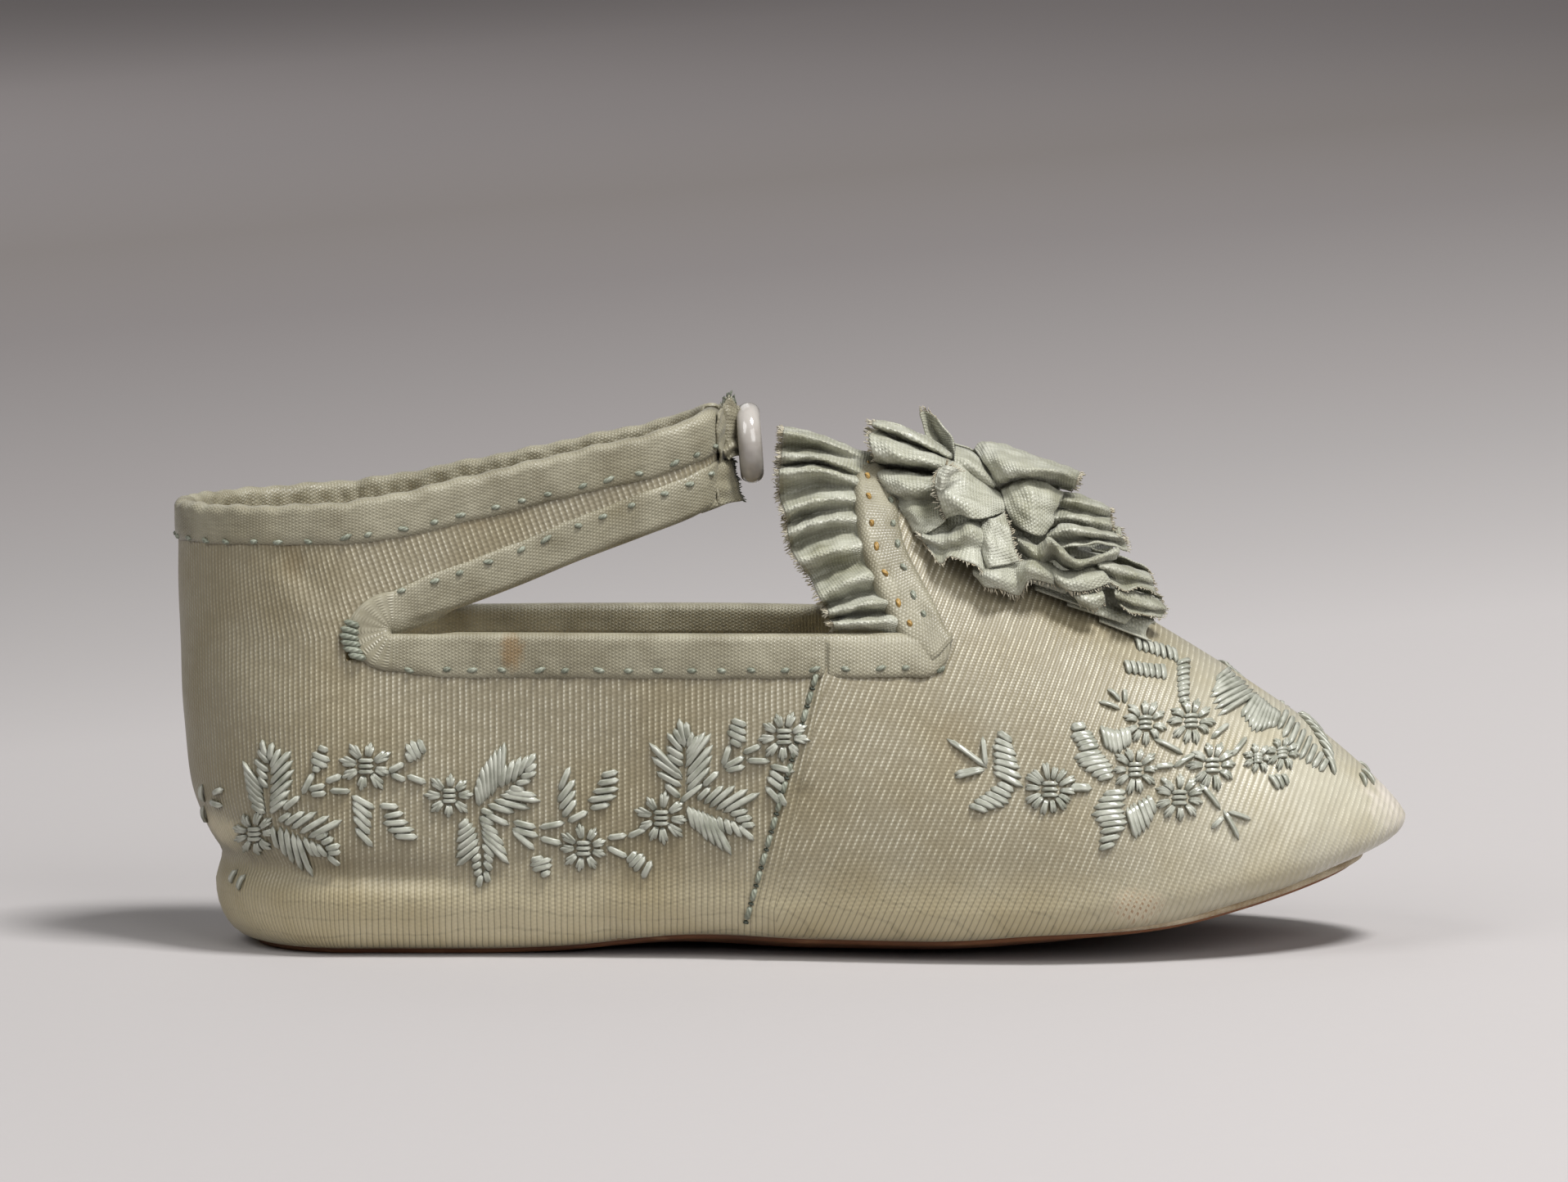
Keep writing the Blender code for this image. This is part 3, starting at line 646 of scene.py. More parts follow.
@dataclass(frozen=True)
class Crease:
    """A soft trough (depth above 0) or ridge (below 0) between two points of the side, as (x, z)."""

    start: tuple[float, float]
    end: tuple[float, float]
    depth: float
    width: float

    def lift(self, x: Array, z: Array) -> Array:
        """How far the cloth stands out along its normal.

        Args:
            x: stations along the foot.
            z: heights.

        Returns:
            Lifts at those places, below 0 in a trough.
        """
        run = np.array(self.end) - np.array(self.start)
        length = float(np.hypot(*run))
        along = ((x - self.start[0]) * run[0] + (z - self.start[1]) * run[1]) / length
        reach = np.clip(along, 0.0, length)
        off = np.hypot(
            x - self.start[0] - run[0] * reach / length, z - self.start[1] - run[1] * reach / length
        )
        ends = ease(reach / (0.35 * length)) * ease((length - reach) / (0.35 * length))
        return -self.depth * bump_line(off, self.width) * (0.25 + 0.75 * ends)


CREASES = (
    Crease((-56.0, 8.6), (-27.0, 7.2), 0.55, 0.85),
    Crease((-52.0, 5.4), (-26.0, 5.2), -0.22, 1.2),
    Crease((-48.6, 37.6), (-43.6, 30.5), -0.28, 1.3),
    Crease((-46.4, 37.4), (-42.0, 32.0), 0.22, 1.0),
    Crease((-53.0, 33.0), (-45.0, 24.0), 0.16, 2.4),
    Crease((-17.5, 4.6), (-15.2, 0.9), 0.35, 0.9),
    Crease((-27.0, 4.0), (-25.0, 1.2), 0.2, 1.1),
    Crease((-34.0, 26.0), (-30.0, 16.0), 0.12, 2.6),
    Crease((-12.0, 24.5), (-9.0, 12.0), -0.12, 2.8),
    Crease((14.0, 25.0), (18.5, 15.0), 0.22, 2.4),
    Crease((30.0, 9.0), (38.0, 12.0), 0.16, 2.2),
    Crease((42.0, 8.6), (45.5, 12.5), 0.2, 1.0),
    Crease((46.0, 9.6), (49.0, 13.2), -0.16, 1.0),
    Crease((49.5, 11.6), (51.8, 14.6), 0.18, 0.8),
    Crease((36.0, 6.2), (39.0, 9.6), 0.16, 0.9),
)


@dataclass(frozen=True)
class SilkFaille:
    """Silk faille, woven with thick weft ribs: fine beaded ridges with a soft directional gloss, with painted
    highlights on the rib crests, painted shade in their valleys, and painted light towards the toe and along
    the lower wall.
    """

    ground: str = "857d67"
    # Painted highlight on the rib crests
    crest_glint: str = "cac6b4"
    # Painted shade in the rib valleys
    valley_shade: str = "655f4b"
    # Painted light: the cloth is lightened with this towards the toe
    bright: str = "c9c5b3"
    # Pale yellowed tone of the cloth, also used as painted light on the lower wall
    yellowed: str = "d8cca8"
    stain: str = "6d5a34"
    scuff: str = "d9d0c6"
    worn: str = "c4b9a0"
    brown: str = "8a6640"

    def make(self) -> Material:
        """Builds the material.

        Returns:
            The finished material.
        """
        finish = Finish("silk_faille", Roughness=0.42, IOR=1.5, Sheen_Weight=0.1, Sheen_Roughness=0.4)
        u, v = finish.weave("cloth")
        cloud, fine = finish.noise(9.0, 4.0), finish.noise(1.4, 2.0)
        split = finish.add("ShaderNodeSeparateXYZ", {0: finish.place})
        forward, height = split.outputs[0], split.outputs[2]
        rib = finish.ridge(finish.plus(u, finish.times(fine, 0.16)), 1.0)
        # Warp threads cross each rib every 0.4 mm and bead it
        half_step = finish.times(finish.math("FLOOR", u), 0.5)
        bead = finish.ridge(finish.plus(finish.times(v, 1 / 0.4), half_step), 1.0)
        # Painted highlight: the rib crests are lightened in short dashes, less where the cloth turns under;
        # painted shade darkens the rib valleys, most where the cloth turns under
        under = finish.times(
            finish.span(height, 5.0 * MM, 13.0 * MM, 0.85, 0.0),
            finish.span(forward, 15.0 * MM, 40.0 * MM, 1.0, 0.5),
        )
        dash = finish.span(finish.noise(1.1, 2.0), 0.38, 0.6, 0.25, 1.0)
        lit = finish.times(finish.span(rib, 0.68, 0.98, 0.0, 1.0), finish.span(bead, 0.1, 0.8, 0.3, 1.0))
        lit = finish.times(finish.times(lit, dash), finish.math("SUBTRACT", 1.0, under))
        ladder = finish.ridge(finish.plus(finish.times(v, 1 / 1.7), finish.times(cloud, 2.0)), 1.0)
        valley_shading = finish.plus(
            finish.span(rib, 0.0, 0.22, 0.28, 0.0),
            finish.times(finish.span(rib, 0.0, 0.14, 0.4, 0.0), under),
        )
        valley_shading = finish.plus(valley_shading, finish.times(finish.span(ladder, 0.92, 1.0, 0.0, 0.22), dash))
        calm = finish.span(forward, -54.0 * MM, -40.0 * MM, 0.45, 1.0)
        # Painted light: the lower wall is lightened towards the pale yellowed tone near the sole
        colour = finish.mix(finish.span(height, 1.0 * MM, 10.0 * MM, 0.66, 0.0), self.ground, self.yellowed)
        # Painted shade in the rib valleys and along faint cross wrinkles
        colour = finish.mix(finish.times(valley_shading, calm), colour, self.valley_shade)
        # Painted highlight: lighter glints along the rib crests
        colour = finish.mix(finish.times(finish.times(lit, calm), 0.8), colour, self.crest_glint)
        # Painted light: lighter towards the toe, standing in for the light and gloss there
        colour = finish.mix(finish.span(forward, 24.0 * MM, 50.0 * MM, 0.0, 0.55), colour, self.bright)
        colour = finish.mix(finish.span(cloud, 0.35, 0.75, 0.0, 0.45), colour, self.yellowed, "MULTIPLY")
        colour = self.worn_places(finish, colour, fine)
        mesh = finish.times(finish.span(rib, 0.35, 0.75, 0.0, 1.0), finish.span(bead, 0.35, 0.75, 0.0, 1.0))
        patch = finish.spot((31.9, -19.0, 5.3), (2.9, 5.0, 2.1), fine)
        colour = finish.mix(finish.times(finish.times(mesh, patch), 0.75), colour, self.brown)
        finish.colour(colour)
        rubbed = finish.span(forward, 30.0 * MM, 52.0 * MM, 0.0, 0.14)
        finish.rough(finish.math("SUBTRACT", finish.span(cloud, 0.3, 0.7, 0.36, 0.5), rubbed))
        finish.bump(finish.noise(4.0, 2.0), 0.12)
        finish.bump(finish.plus(rib, finish.times(bead, 0.3)), 0.05)
        return finish.material

    def worn_places(self, finish: Finish, colour: Socket, ragged: Socket) -> Socket:
        """Stains on the near side, yellowing at the heel and the rubbed toe.

        Args:
            finish: the material.
            colour: clean cloth.
            ragged: noise that breaks up the edges.

        Returns:
            The colour with its wear.
        """
        marks = (
            ((15.2, -17.0, 21.0), (2.6, 4.0, 2.6), self.stain, 0.16),
            ((-29.5, -11.5, 41.0), (3.0, 3.0, 2.0), self.stain, 0.3),
            ((-45.5, -12.5, 36.5), (1.4, 3.0, 2.4), self.stain, 0.3),
            ((-53.0, -8.0, 11.0), (5.0, 6.0, 2.0), self.yellowed, 0.5),
            ((54.5, 0.0, 13.0), (4.0, 8.0, 3.2), self.scuff, 0.8),
            ((31.9, -19.0, 5.3), (2.9, 5.0, 2.1), self.worn, 0.7),
        )
        for centre, size, code, weight in marks:
            share = finish.times(finish.spot(centre, size, ragged), weight)
            colour = finish.mix(share, colour, code)
        return colour


@dataclass(frozen=True)
class Lining:
    """Fine linen, hand woven and yellowed: a matt plain weave with slubs."""

    name: str = "linen_lining"
    pale: str = "e8dfc6"
    deep: str = "c4b38c"

    def make(self) -> Material:
        """Builds the material.

        Returns:
            The finished material.
        """
        finish = Finish(self.name, Roughness=0.85, IOR=1.5)
        split = finish.add("ShaderNodeSeparateXYZ", {0: finish.place})
        # Threads lie 0.5 mm apart, half as many as in the real cloth, so that they show
        warp = finish.ridge(finish.plus(split.outputs[0], split.outputs[1]), 1 / (0.5 * MM))
        weft = finish.ridge(
            finish.plus(split.outputs[2], finish.times(split.outputs[1], 0.3)), 1 / (0.5 * MM)
        )
        cloth = finish.times(warp, weft)
        mottle = finish.plus(finish.noise(6.0, 4.0), finish.times(cloth, 0.25))
        finish.colour(ramp(finish.tree, mottle, ((0.3, self.deep), (0.75, self.pale))))
        finish.bump(cloth, 0.08)
        return finish.material


@dataclass(frozen=True)
class SilkRibbon:
    """Silk taffeta ribbon: a close plain weave with a soft gloss along its folds."""

    name: str = "silk_ribbon"
    pale: str = "948f7b"
    deep: str = "77715d"
    aged: str = "6f6440"
    roughness: float = 0.36
    weave: float = 0.05
    fibre: float = 0.15
    stains: tuple[tuple[float, float, float], ...] = ()
    stain: str = "7a5a2c"

    def make(self) -> Material:
        """Builds the material.

        Returns:
            The finished material.
        """
        finish = Finish(self.name, Roughness=self.roughness, IOR=1.45, Sheen_Weight=0.1, Sheen_Roughness=0.35)
        u, v = finish.weave("cloth")
        # Threads lie 0.32 mm apart, somewhat coarser than in the real ribbon, so that they show
        step = finish.times(finish.math("FLOOR", finish.times(u, 1 / 0.32)), 0.5)
        weft = finish.ridge(u, 1 / 0.32)
        warp = finish.ridge(finish.plus(finish.times(v, 1 / 0.32), step), 1.0)
        cloth = finish.times(warp, weft)
        mottle = finish.plus(finish.noise(3.5, 4.0), finish.times(cloth, 0.16))
        colour = ramp(finish.tree, mottle, ((0.3, self.deep), (0.7, self.pale)))
        aged = finish.span(finish.noise(11.0, 3.0), 0.55, 0.8, 0.0, 0.35)
        colour = finish.mix(aged, colour, self.aged)
        for place in self.stains:
            share = finish.times(finish.spot(place, (1.3, 3.0, 2.2), finish.noise(0.8, 2.0)), 0.6)
            colour = finish.mix(share, colour, self.stain)
        along = finish.add(
            "ShaderNodeCombineXYZ", {0: finish.times(u, 0.12 * MM), 1: finish.times(v, 1.0 * MM)}
        ).outputs[0]
        fibre = finish.noise(0.35, 3.0, along)
        finish.colour(
            finish.mix(finish.span(fibre, 0.4, 0.7, 0.0, self.fibre), colour, self.deep, "MULTIPLY")
        )
        finish.bump(finish.noise(2.2, 3.0), 0.1)
        finish.bump(fibre, self.fibre * 0.16)
        finish.bump(cloth, self.weave)
        return finish.material


@dataclass(frozen=True)
class Thread:
    """Twisted silk thread: a small round strand with a dull gloss."""

    name: str
    pale: str
    deep: str
    roughness: float = 0.4
    twist: float = 3.0

    def make(self) -> Material:
        """Builds the material.

        Returns:
            The finished material.
        """
        finish = Finish(self.name, Roughness=self.roughness, IOR=1.45, Anisotropic=0.5)
        u, v = finish.weave("cloth")
        strand = finish.ridge(finish.plus(u, finish.times(v, self.twist)), 1.0)
        mottle = finish.plus(finish.noise(1.6, 3.0), finish.times(strand, 0.2))
        finish.colour(ramp(finish.tree, mottle, ((0.3, self.deep), (0.75, self.pale))))
        finish.bump(strand, 0.05)
        return finish.material


@dataclass(frozen=True)
class SoleLeather:
    """Thin turned sole leather, worn smooth and scratched: brown, dull, darker in its pores."""

    pale: str = "8a5c3c"
    deep: str = "57311a"
    worn: str = "a37d5a"

    def make(self) -> Material:
        """Builds the material.

        Returns:
            The finished material.
        """
        finish = Finish("sole_leather", Roughness=0.62, IOR=1.5)
        stretch = finish.add(
            "ShaderNodeMapping", {"Vector": finish.place, "Scale": (0.25, 1.0, 1.0)}
        ).outputs[0]
        scratch = finish.noise(1.2, 5.0, stretch)
        cloud = finish.noise(14.0, 4.0)
        colour = ramp(finish.tree, cloud, ((0.3, self.deep), (0.7, self.pale)))
        finish.colour(finish.mix(finish.span(scratch, 0.55, 0.75, 0.0, 0.6), colour, self.worn))
        finish.rough(finish.span(cloud, 0.3, 0.7, 0.5, 0.75))
        finish.bump(finish.noise(0.5, 4.0), 0.1)
        finish.bump(scratch, 0.12)
        return finish.material


@dataclass(frozen=True)
class WhiteChina:
    """Pressed white china under a clear glaze: milky, very smooth, with a sharp highlight."""

    body: str = "a8a39d"
    deep: str = "97918b"

    def make(self) -> Material:
        """Builds the material.

        Returns:
            The finished material.
        """
        finish = Finish(
            "white_china",
            Roughness=0.16,
            IOR=1.52,
            Coat_Weight=0.6,
            Coat_Roughness=0.05,
            Subsurface_Weight=0.25,
            Subsurface_Radius=(0.8 * MM, 0.7 * MM, 0.65 * MM),
            Subsurface_Scale=1.0,
        )
        finish.colour(ramp(finish.tree, finish.noise(2.5, 2.0), ((0.35, self.deep), (0.65, self.body))))
        finish.bump(finish.noise(1.5, 1.0), 0.02)
        return finish.material


@dataclass
class SilkUpper:
    """Quarters, vamp and ankle strap: ribbed silk over linen."""

    heel_columns: int = 26
    quarter_columns: int = 48
    band_columns: int = 3
    corner_columns: int = 12
    throat_columns: int = 14
    ridge_columns: int = 46
    strap_columns: int = 46
    roll_rows: int = 8
    wall_rows: int = 34
    cuff_rows: int = 16
    seam_foot: float = -3.4
    seam_top: float = 2.7
    band: float = 2.2
    heel_crowd: float = 1.15
    seam_step: float = 0.42

    def stations(self) -> tuple[Array, list[int]]:
        """Plan points of the widest line on one side, from the centre back to the toe.

        Returns:
            The points, and the column where each part of the cloth begins.
        """
        shares = np.arange(self.heel_columns) / self.heel_columns
        heel = FORM.heel(shares, np.full_like(shares, HEEL_Z[0]))[:, :2]
        foot = self.seam_foot
        throat_end = FORM.throat_x + 10.0
        left = 1 - np.arange(self.ridge_columns + 1) / self.ridge_columns
        x = np.concatenate(
            [
                np.linspace(FORM.slit_x, foot, self.quarter_columns, endpoint=False),
                np.linspace(foot, foot + self.band, self.band_columns, endpoint=False),
                np.linspace(foot + self.band, FORM.throat_x, self.corner_columns, endpoint=False),
                np.linspace(FORM.throat_x, throat_end, self.throat_columns, endpoint=False),
                FORM.toe_x - (FORM.toe_x - throat_end) * left**1.5,
            ]
        )
        counts = (self.heel_columns, self.quarter_columns, self.band_columns, self.corner_columns)
        counts += (self.throat_columns, self.ridge_columns)
        sides = np.stack([x, FORM.half_breadth(x)], -1)
        return np.vstack([heel, sides]), list(np.cumsum((0,) + counts))

    def strips(self) -> tuple[Array, list[int]]:
        """Points of the cloth below the slit, one strip for each station.

        Returns:
            Array of columns by rows by three, and the column where each part begins.
        """
        plan, starts = self.stations()
        turn = (math.pi / 2 * (1 - np.arange(self.roll_rows) / self.roll_rows))[None, :, None]
        low = FORM.sole(plan[:, 0]) + FORM.feather_lift + FORM.edge_lift(plan[:, 0])
        high = FORM.widest(plan[:, 0])
        xy = plan[:, None] + inward(plan)[:, None] * FORM.feather_inset * (1 - np.cos(turn))
        z = high[:, None, None] - (high - low)[:, None, None] * np.sin(turn)
        roll = np.concatenate([xy, z], -1)
        roll[:, :, 1] = np.maximum(roll[:, :, 1], 0.0)
        walls = np.stack([self.wall(i, plan[i], starts) for i in range(len(plan))])
        return np.concatenate([roll, walls], 1), starts

    def wall(self, column: int, plan: Array, starts: Sequence[int]) -> Array:
        """One strip above the widest line, up to the topline, throat edge or ridge.

        Args:
            column: the station's number.
            plan: its point on the widest line.
            starts: the column where each part begins.

        Returns:
            Points from the widest line upwards.
        """
        row = np.linspace(0.0, 1.0, self.wall_rows + 1)
        x = plan[0]
        if column < starts[1]:
            z = HEEL_Z[0] + (FORM.slit_low - HEEL_Z[0]) * row
            return FORM.heel(np.full_like(row, column / self.heel_columns), z)
        if column <= starts[4]:
            knots = (FORM.slit_x, self.seam_foot, self.seam_foot + self.band, FORM.throat_x)
            tops = (FORM.slit_x, self.seam_top, self.seam_top + 0.6 * self.band, FORM.throat_x)
            top = float(np.interp(x, knots, tops))
            low, high = float(FORM.widest(np.array(x))), float(FORM.topline(np.array(top)))
            z, at = low + (high - low) * row, x + (top - x) * row
            return np.stack([at, FORM.quarter(at, z), z], -1)
        lean = 1.6
        if column <= starts[5]:
            share = (column - starts[4]) / self.throat_columns
            top, angle = FORM.throat(np.array(share))
            lean = 1.6 + 13.0 * (1 - share) ** 3
        else:
            share = (column - starts[5]) / self.ridge_columns
            top, angle = FORM.toe_x - (FORM.toe_x - FORM.tongue_x) * (1 - share) ** 1.5, math.pi / 2
        strip = FORM.vamp(x + (float(top) - x) * row**lean, float(angle) * row)
        if float(angle) > math.pi / 2 - 1e-6:
            strip[-1, 1] = 0.0
        return strip

    def cloth(self, part: int, points: Array, around: Array) -> Array:
        """Rib and thread coordinates of one part of the cloth.

        Args:
            part: heel, quarter, seam band, then the vamp's three parts.
            points: the part's points.
            around: distance of each column from the root of the slit, along the widest line.

        Returns:
            Rib number and millimetres along the rib.
        """
        x, y, z = np.moveaxis(points, -1, 0)
        if part == 0:
            u, v = FORM.slit_x - self.heel_crowd * around[:, None] + 0 * z, z
        elif part == 1:
            u, v = x, z
        elif part == 2:
            u, v = x - np.interp(z, (5.0, 29.3), (self.seam_foot, self.seam_top)), z
        else:
            u, v = 0.885 * x - 0.375 * z, 0.39 * x + 0.92 * z - 0.8 * y
        return np.stack([u / RIB_PITCH, v], -1)

    def build(self, silk: Material, lining: Material) -> BVHTree:
        """Sews the parts together, creases them and gives the wall its thickness.

        Args:
            silk: the outer cloth.
            lining: the inner cloth.

        Returns:
            A search tree of its outer surface, in millimetres.
        """
        piece = Piece("silk_upper")
        strips, starts = self.strips()
        around = np.zeros(self.heel_columns + 1)
        rim = FORM.heel(np.linspace(0, 1, self.heel_columns + 1), np.full(self.heel_columns + 1, 15.0))
        steps = np.linalg.norm(np.diff(rim, axis=0), axis=1)
        around[:-1] = np.cumsum(steps[::-1])[::-1]
        parts = []
        for part, (start, end) in enumerate(zip(starts, starts[1:])):
            points = strips[start : end + 1]
            parts.append((points, self.cloth(part, points, around)))
        parts += [self.cuff(strips, around), self.strap()]
        for points, cloth in parts:
            piece.grid(points, cloth)
            piece.grid(mirrored(points), cloth)
        piece.weld(0.02)
        piece.turn_out((0.0, 1.0, 0.0))
        self.crease(piece.bm)
        tree = BVHTree.FromBMesh(piece.bm)
        upper = piece.finish((silk, lining), "silk", ("upper",))
        wall = add_wall(upper, FORM.wall, -1.0)
        wall.use_even_offset = False
        wall.use_quality_normals = True
        wall.material_offset = 1
        return tree

    def cuff(self, strips: Array, around: Array) -> tuple[Array, Array]:
        """The heel cup above the root of the slit, up to the collar.

        Args:
            strips: the cloth below it.
            around: distance of each column from the root of the slit.

        Returns:
            Points and cloth coordinates.
        """
        share = np.linspace(0, 1, self.heel_columns + 1)[:, None]
        row = np.linspace(0, 1, self.cuff_rows + 1)[None, :]
        z = FORM.slit_high + (FORM.collar(share) - FORM.slit_high) * row
        points = FORM.heel(share + 0 * z, z)
        points = np.concatenate([strips[: self.heel_columns + 1, -1:], points], 1)
        u = FORM.slit_x - self.heel_crowd * around[:, None] + 0 * points[..., 2]
        u = u + self.lean(u) * np.maximum(points[..., 2] - FORM.slit_high, 0.0)
        return points, np.stack([u / RIB_PITCH, points[..., 2]], -1)

    def lean(self, u: Array) -> Array:
        """How much the ribs lean back as the cloth turns into the strap."""
        return 0.34 * ease((u + 58.0) / 20.0)

    def strap(self) -> tuple[Array, Array]:
        """The ankle strap, to the front of its loop.

        Returns:
            Points and cloth coordinates.
        """
        share = np.linspace(0, 1, self.strap_columns + 1)
        front = STRAP_X[-1]
        x = front - (front - FORM.slit_x) * (1 - np.sin(share * math.pi / 2) ** 1.15)
        row = np.linspace(0, 1, self.cuff_rows + 1)
        points = FORM.strap(x[:, None], row[None, :])
        points[0] = FORM.heel(np.ones_like(row), FORM.slit_high + (FORM.collar(1.0) - FORM.slit_high) * row)
        points[-1, :, 1] = 0.0
        run = FORM.slit_x + 0.94 * arc(points[:, 8, :2])
        u = run[:, None] + self.lean(run)[:, None] * (points[..., 2] - FORM.slit_high)
        return points, np.stack([u / RIB_PITCH, points[..., 2]], -1)

    def crease(self, bm: bmesh.types.BMesh) -> None:
        """Moves the cloth out and in along its normals, away from its bound edges.

        Args:
            bm: the outer cloth in millimetres.
        """
        bm.normal_update()
        verts = list(bm.verts)
        co = np.array([vert.co for vert in verts])
        x, y, z = co.T
        lift = sum(crease.lift(x, z) for crease in CREASES)
        lift = lift + 0.07 * np.sin(0.42 * x + 0.3 * z) * np.sin(0.31 * z - 0.23 * x + 0.15 * y)
        edge = np.where(x < FORM.slit_x, FORM.collar_back - z, np.abs(z - FORM.topline_z))
        lift = lift * ease((edge - 2.0) / 4.0) * ease(z / 2.5)
        # The vamp is turned under and laid over the quarter along the side seam
        seam = x - np.interp(
            z, (5.0, FORM.topline_z), (self.seam_foot + self.band, self.seam_top + 0.6 * self.band)
        )
        over = np.where(seam > -0.05, np.exp(-np.maximum(seam, 0.0) / 2.2), 0.0) * (z < FORM.topline_z - 0.5)
        lift = lift + self.seam_step * over * ease((z - 2.0) / 3.0)
        for vert, move in zip(verts, lift):
            vert.co += vert.normal * float(move)
        bm.normal_update()


@dataclass
class Sole:
    """Thin turned leather sole with a pale rand round it and a linen sock on top."""

    inset: float = 3.9
    thick: float = 1.8
    sock_low: float = 2.1
    sock_thick: float = 1.0
    rand_inset: float = 3.3
    rand_half: float = 0.34
    rand_toe: float = 0.22
    rand_lift: float = 0.85
    skive: float = 0.55
    across: int = 12

    def outline(self, upper: SilkUpper, inset: float) -> Array:
        """Plan points inside the widest line, from the centre back to the toe on one side.

        Args:
            upper: the upper that the sole fits.
            inset: how far inside the line.

        Returns:
            Points as (x, y).
        """
        plan, _ = upper.stations()
        points = plan + inward(plan) * inset
        points[:, 1] = np.maximum(points[:, 1], 0.0)
        points[:, 0] -= 0.1 * np.maximum(points[:, 0] - 43.0, 0.0)
        return points

    def slab(self, name: str, plan: Array, low: float, high: float, crown: float) -> Piece:
        """A thin sheet with rounded edges that follows the underside of the last.

        Args:
            name: the piece's name.
            plan: half outline.
            low: height of its underside above the sole's own.
            high: height of its top.
            crown: how far its middle stands above its edge.

        Returns:
            The new piece.
        """
        piece = Piece(name)
        share = np.linspace(-1, 1, self.across + 1)
        turn = np.linspace(-math.pi / 2, math.pi / 2, 7)[1:-1]
        flat = np.concatenate([share, np.ones(5), share[::-1], -np.ones(5), share[:1]])[None, :]
        out = np.concatenate([0 * share, np.cos(turn), 0 * share, -np.cos(turn), [0.0]])[None, :]
        level = np.concatenate([0 * share - 1, np.sin(turn), 0 * share + 1, -np.sin(turn), [-1.0]])[None, :]
        x = plan[:, :1]
        thin = self.skive + 0.3 * ease((x - 42.0) / 10.0)
        tall = (high - low) * (1 - thin * flat**4)
        radius = (high - low) * (1 - thin) / 2
        y = np.maximum(plan[:, 1:] - radius, 0.0)
        swell = crown * (1 - flat**2) * (level > 0.5)
        rise = FORM.sole(x) + low + tall * (1 + level) / 2 + swell + FORM.edge_lift(x) * flat**4
        shrink = np.minimum(plan[:, 1:] / radius, 1.0)
        points = np.stack([x + 0 * rise, y * flat + out * radius * shrink, rise], -1)
        cloth = np.stack([points[..., 0], points[..., 1]], -1)
        piece.grid(points, cloth)
        piece.weld(0.004)
        return piece

    def build(self, upper: SilkUpper, leather: Material, lining: Material, rand: Material) -> None:
        """Makes the sole, its rand and the sock.

        Args:
            upper: the upper that it is sewn to.
            leather: finish of the sole.
            lining: finish of the sock.
            rand: finish of the rand.
        """
        plan = self.outline(upper, self.inset)
        self.slab("leather_sole", plan, 0.0, self.thick, 0.0).finish((leather,), "sole_leather", ("outsole",))
        sock = self.slab("linen_sock", plan, self.sock_low, self.sock_low + self.sock_thick, 0.25)
        sock.finish((lining,), "linen", ("insole",))
        piece = Piece("sole_rand")
        line = self.outline(upper, self.rand_inset)
        turn = np.linspace(0, 2 * math.pi, 9)
        x = line[:, 0]
        centre = np.column_stack([line, FORM.sole(x) + FORM.edge_lift(x) + self.rand_lift])
        outward = unit(np.column_stack([np.gradient(line[:, 1]), -np.gradient(line[:, 0]), 0 * line[:, 0]]))
        outward[:, :2] *= -1.0
        up = np.array([0.0, 0.0, 1.0])
        ring = outward[:, None] * np.cos(turn)[None, :, None] + up * np.sin(turn)[None, :, None] * 0.9
        half = self.rand_half + self.rand_toe * ease((x - 22.0) / 14.0)
        points = centre[:, None] + ring * half[:, None, None]
        points[0, :, 1] = 0.0
        points[-1, :, 1] = 0.0
        run = arc(line)
        cloth = joined(run[:, None] * 0.6, turn[None, :])
        piece.grid(points, cloth)
        piece.grid(mirrored(points), cloth)
        piece.weld(0.004)
        piece.finish((rand,), "sole_leather")


Surface = Callable[[Array, Array], Array]


def side_edge(x: Array, z: Array, into: Array) -> Surface:
    """Reader of the cloth beside an edge of the side wall.

    Args:
        x: stations of the edge.
        z: its heights.
        into: directions away from the edge, as (x, z).

    Returns:
        Function of distance from the edge and height above the cloth.
    """

    def read(distance: Array, offset: Array) -> Array:
        """Points at distances from the edge and heights above the cloth."""
        at_x, at_z = x[:, None] + into[:, :1] * distance, z[:, None] + into[:, 1:] * distance
        base = np.stack([at_x, FORM.side(at_x, at_z), at_z], -1)
        return base + FORM.side_normal(at_x, at_z) * offset[..., None]

    return read


def heel_edge(share: Array) -> Surface:
    """Reader of the cloth below the collar round the back of the heel.

    Args:
        share: places round the heel cup.

    Returns:
        Function of distance from the edge and height above the cloth.
    """

    def read(distance: Array, offset: Array) -> Array:
        """Points at distances from the edge and heights above the cloth."""
        z = FORM.collar(share)[:, None] - distance
        s = share[:, None] + 0 * z
        along = FORM.heel(np.minimum(s + 0.01, 1.0), z) - FORM.heel(np.maximum(s - 0.01, 0.0), z)
        along = np.where((s < 0.005)[..., None], np.array([0.0, 1.0, 0.0]), along)
        up = FORM.heel(s, z + 0.2) - FORM.heel(s, z - 0.2)
        return FORM.heel(s, z) + unit(np.cross(up, along)) * offset[..., None]

    return read


def throat_frame(share: Array) -> tuple[Array, Array, Array, Array]:
    """Station, angle, normal and direction into the vamp along the throat edge.

    Args:
        share: places along the edge.

    Returns:
        The four arrays, in that order.
    """
    x, angle = FORM.throat(share)
    after, before = FORM.throat(np.minimum(share + 0.01, 1.0)), FORM.throat(share - 0.01)
    along = FORM.vamp(*after) - FORM.vamp(*before)
    along = np.where((share > 0.99)[:, None], np.array([0.0, -1.0, 0.0]), along)
    normal = FORM.vamp_normal(x, angle)
    into = unit(np.cross(normal, along))
    return x, angle, normal, into * np.where(into[:, :1] < 0, -1.0, 1.0)


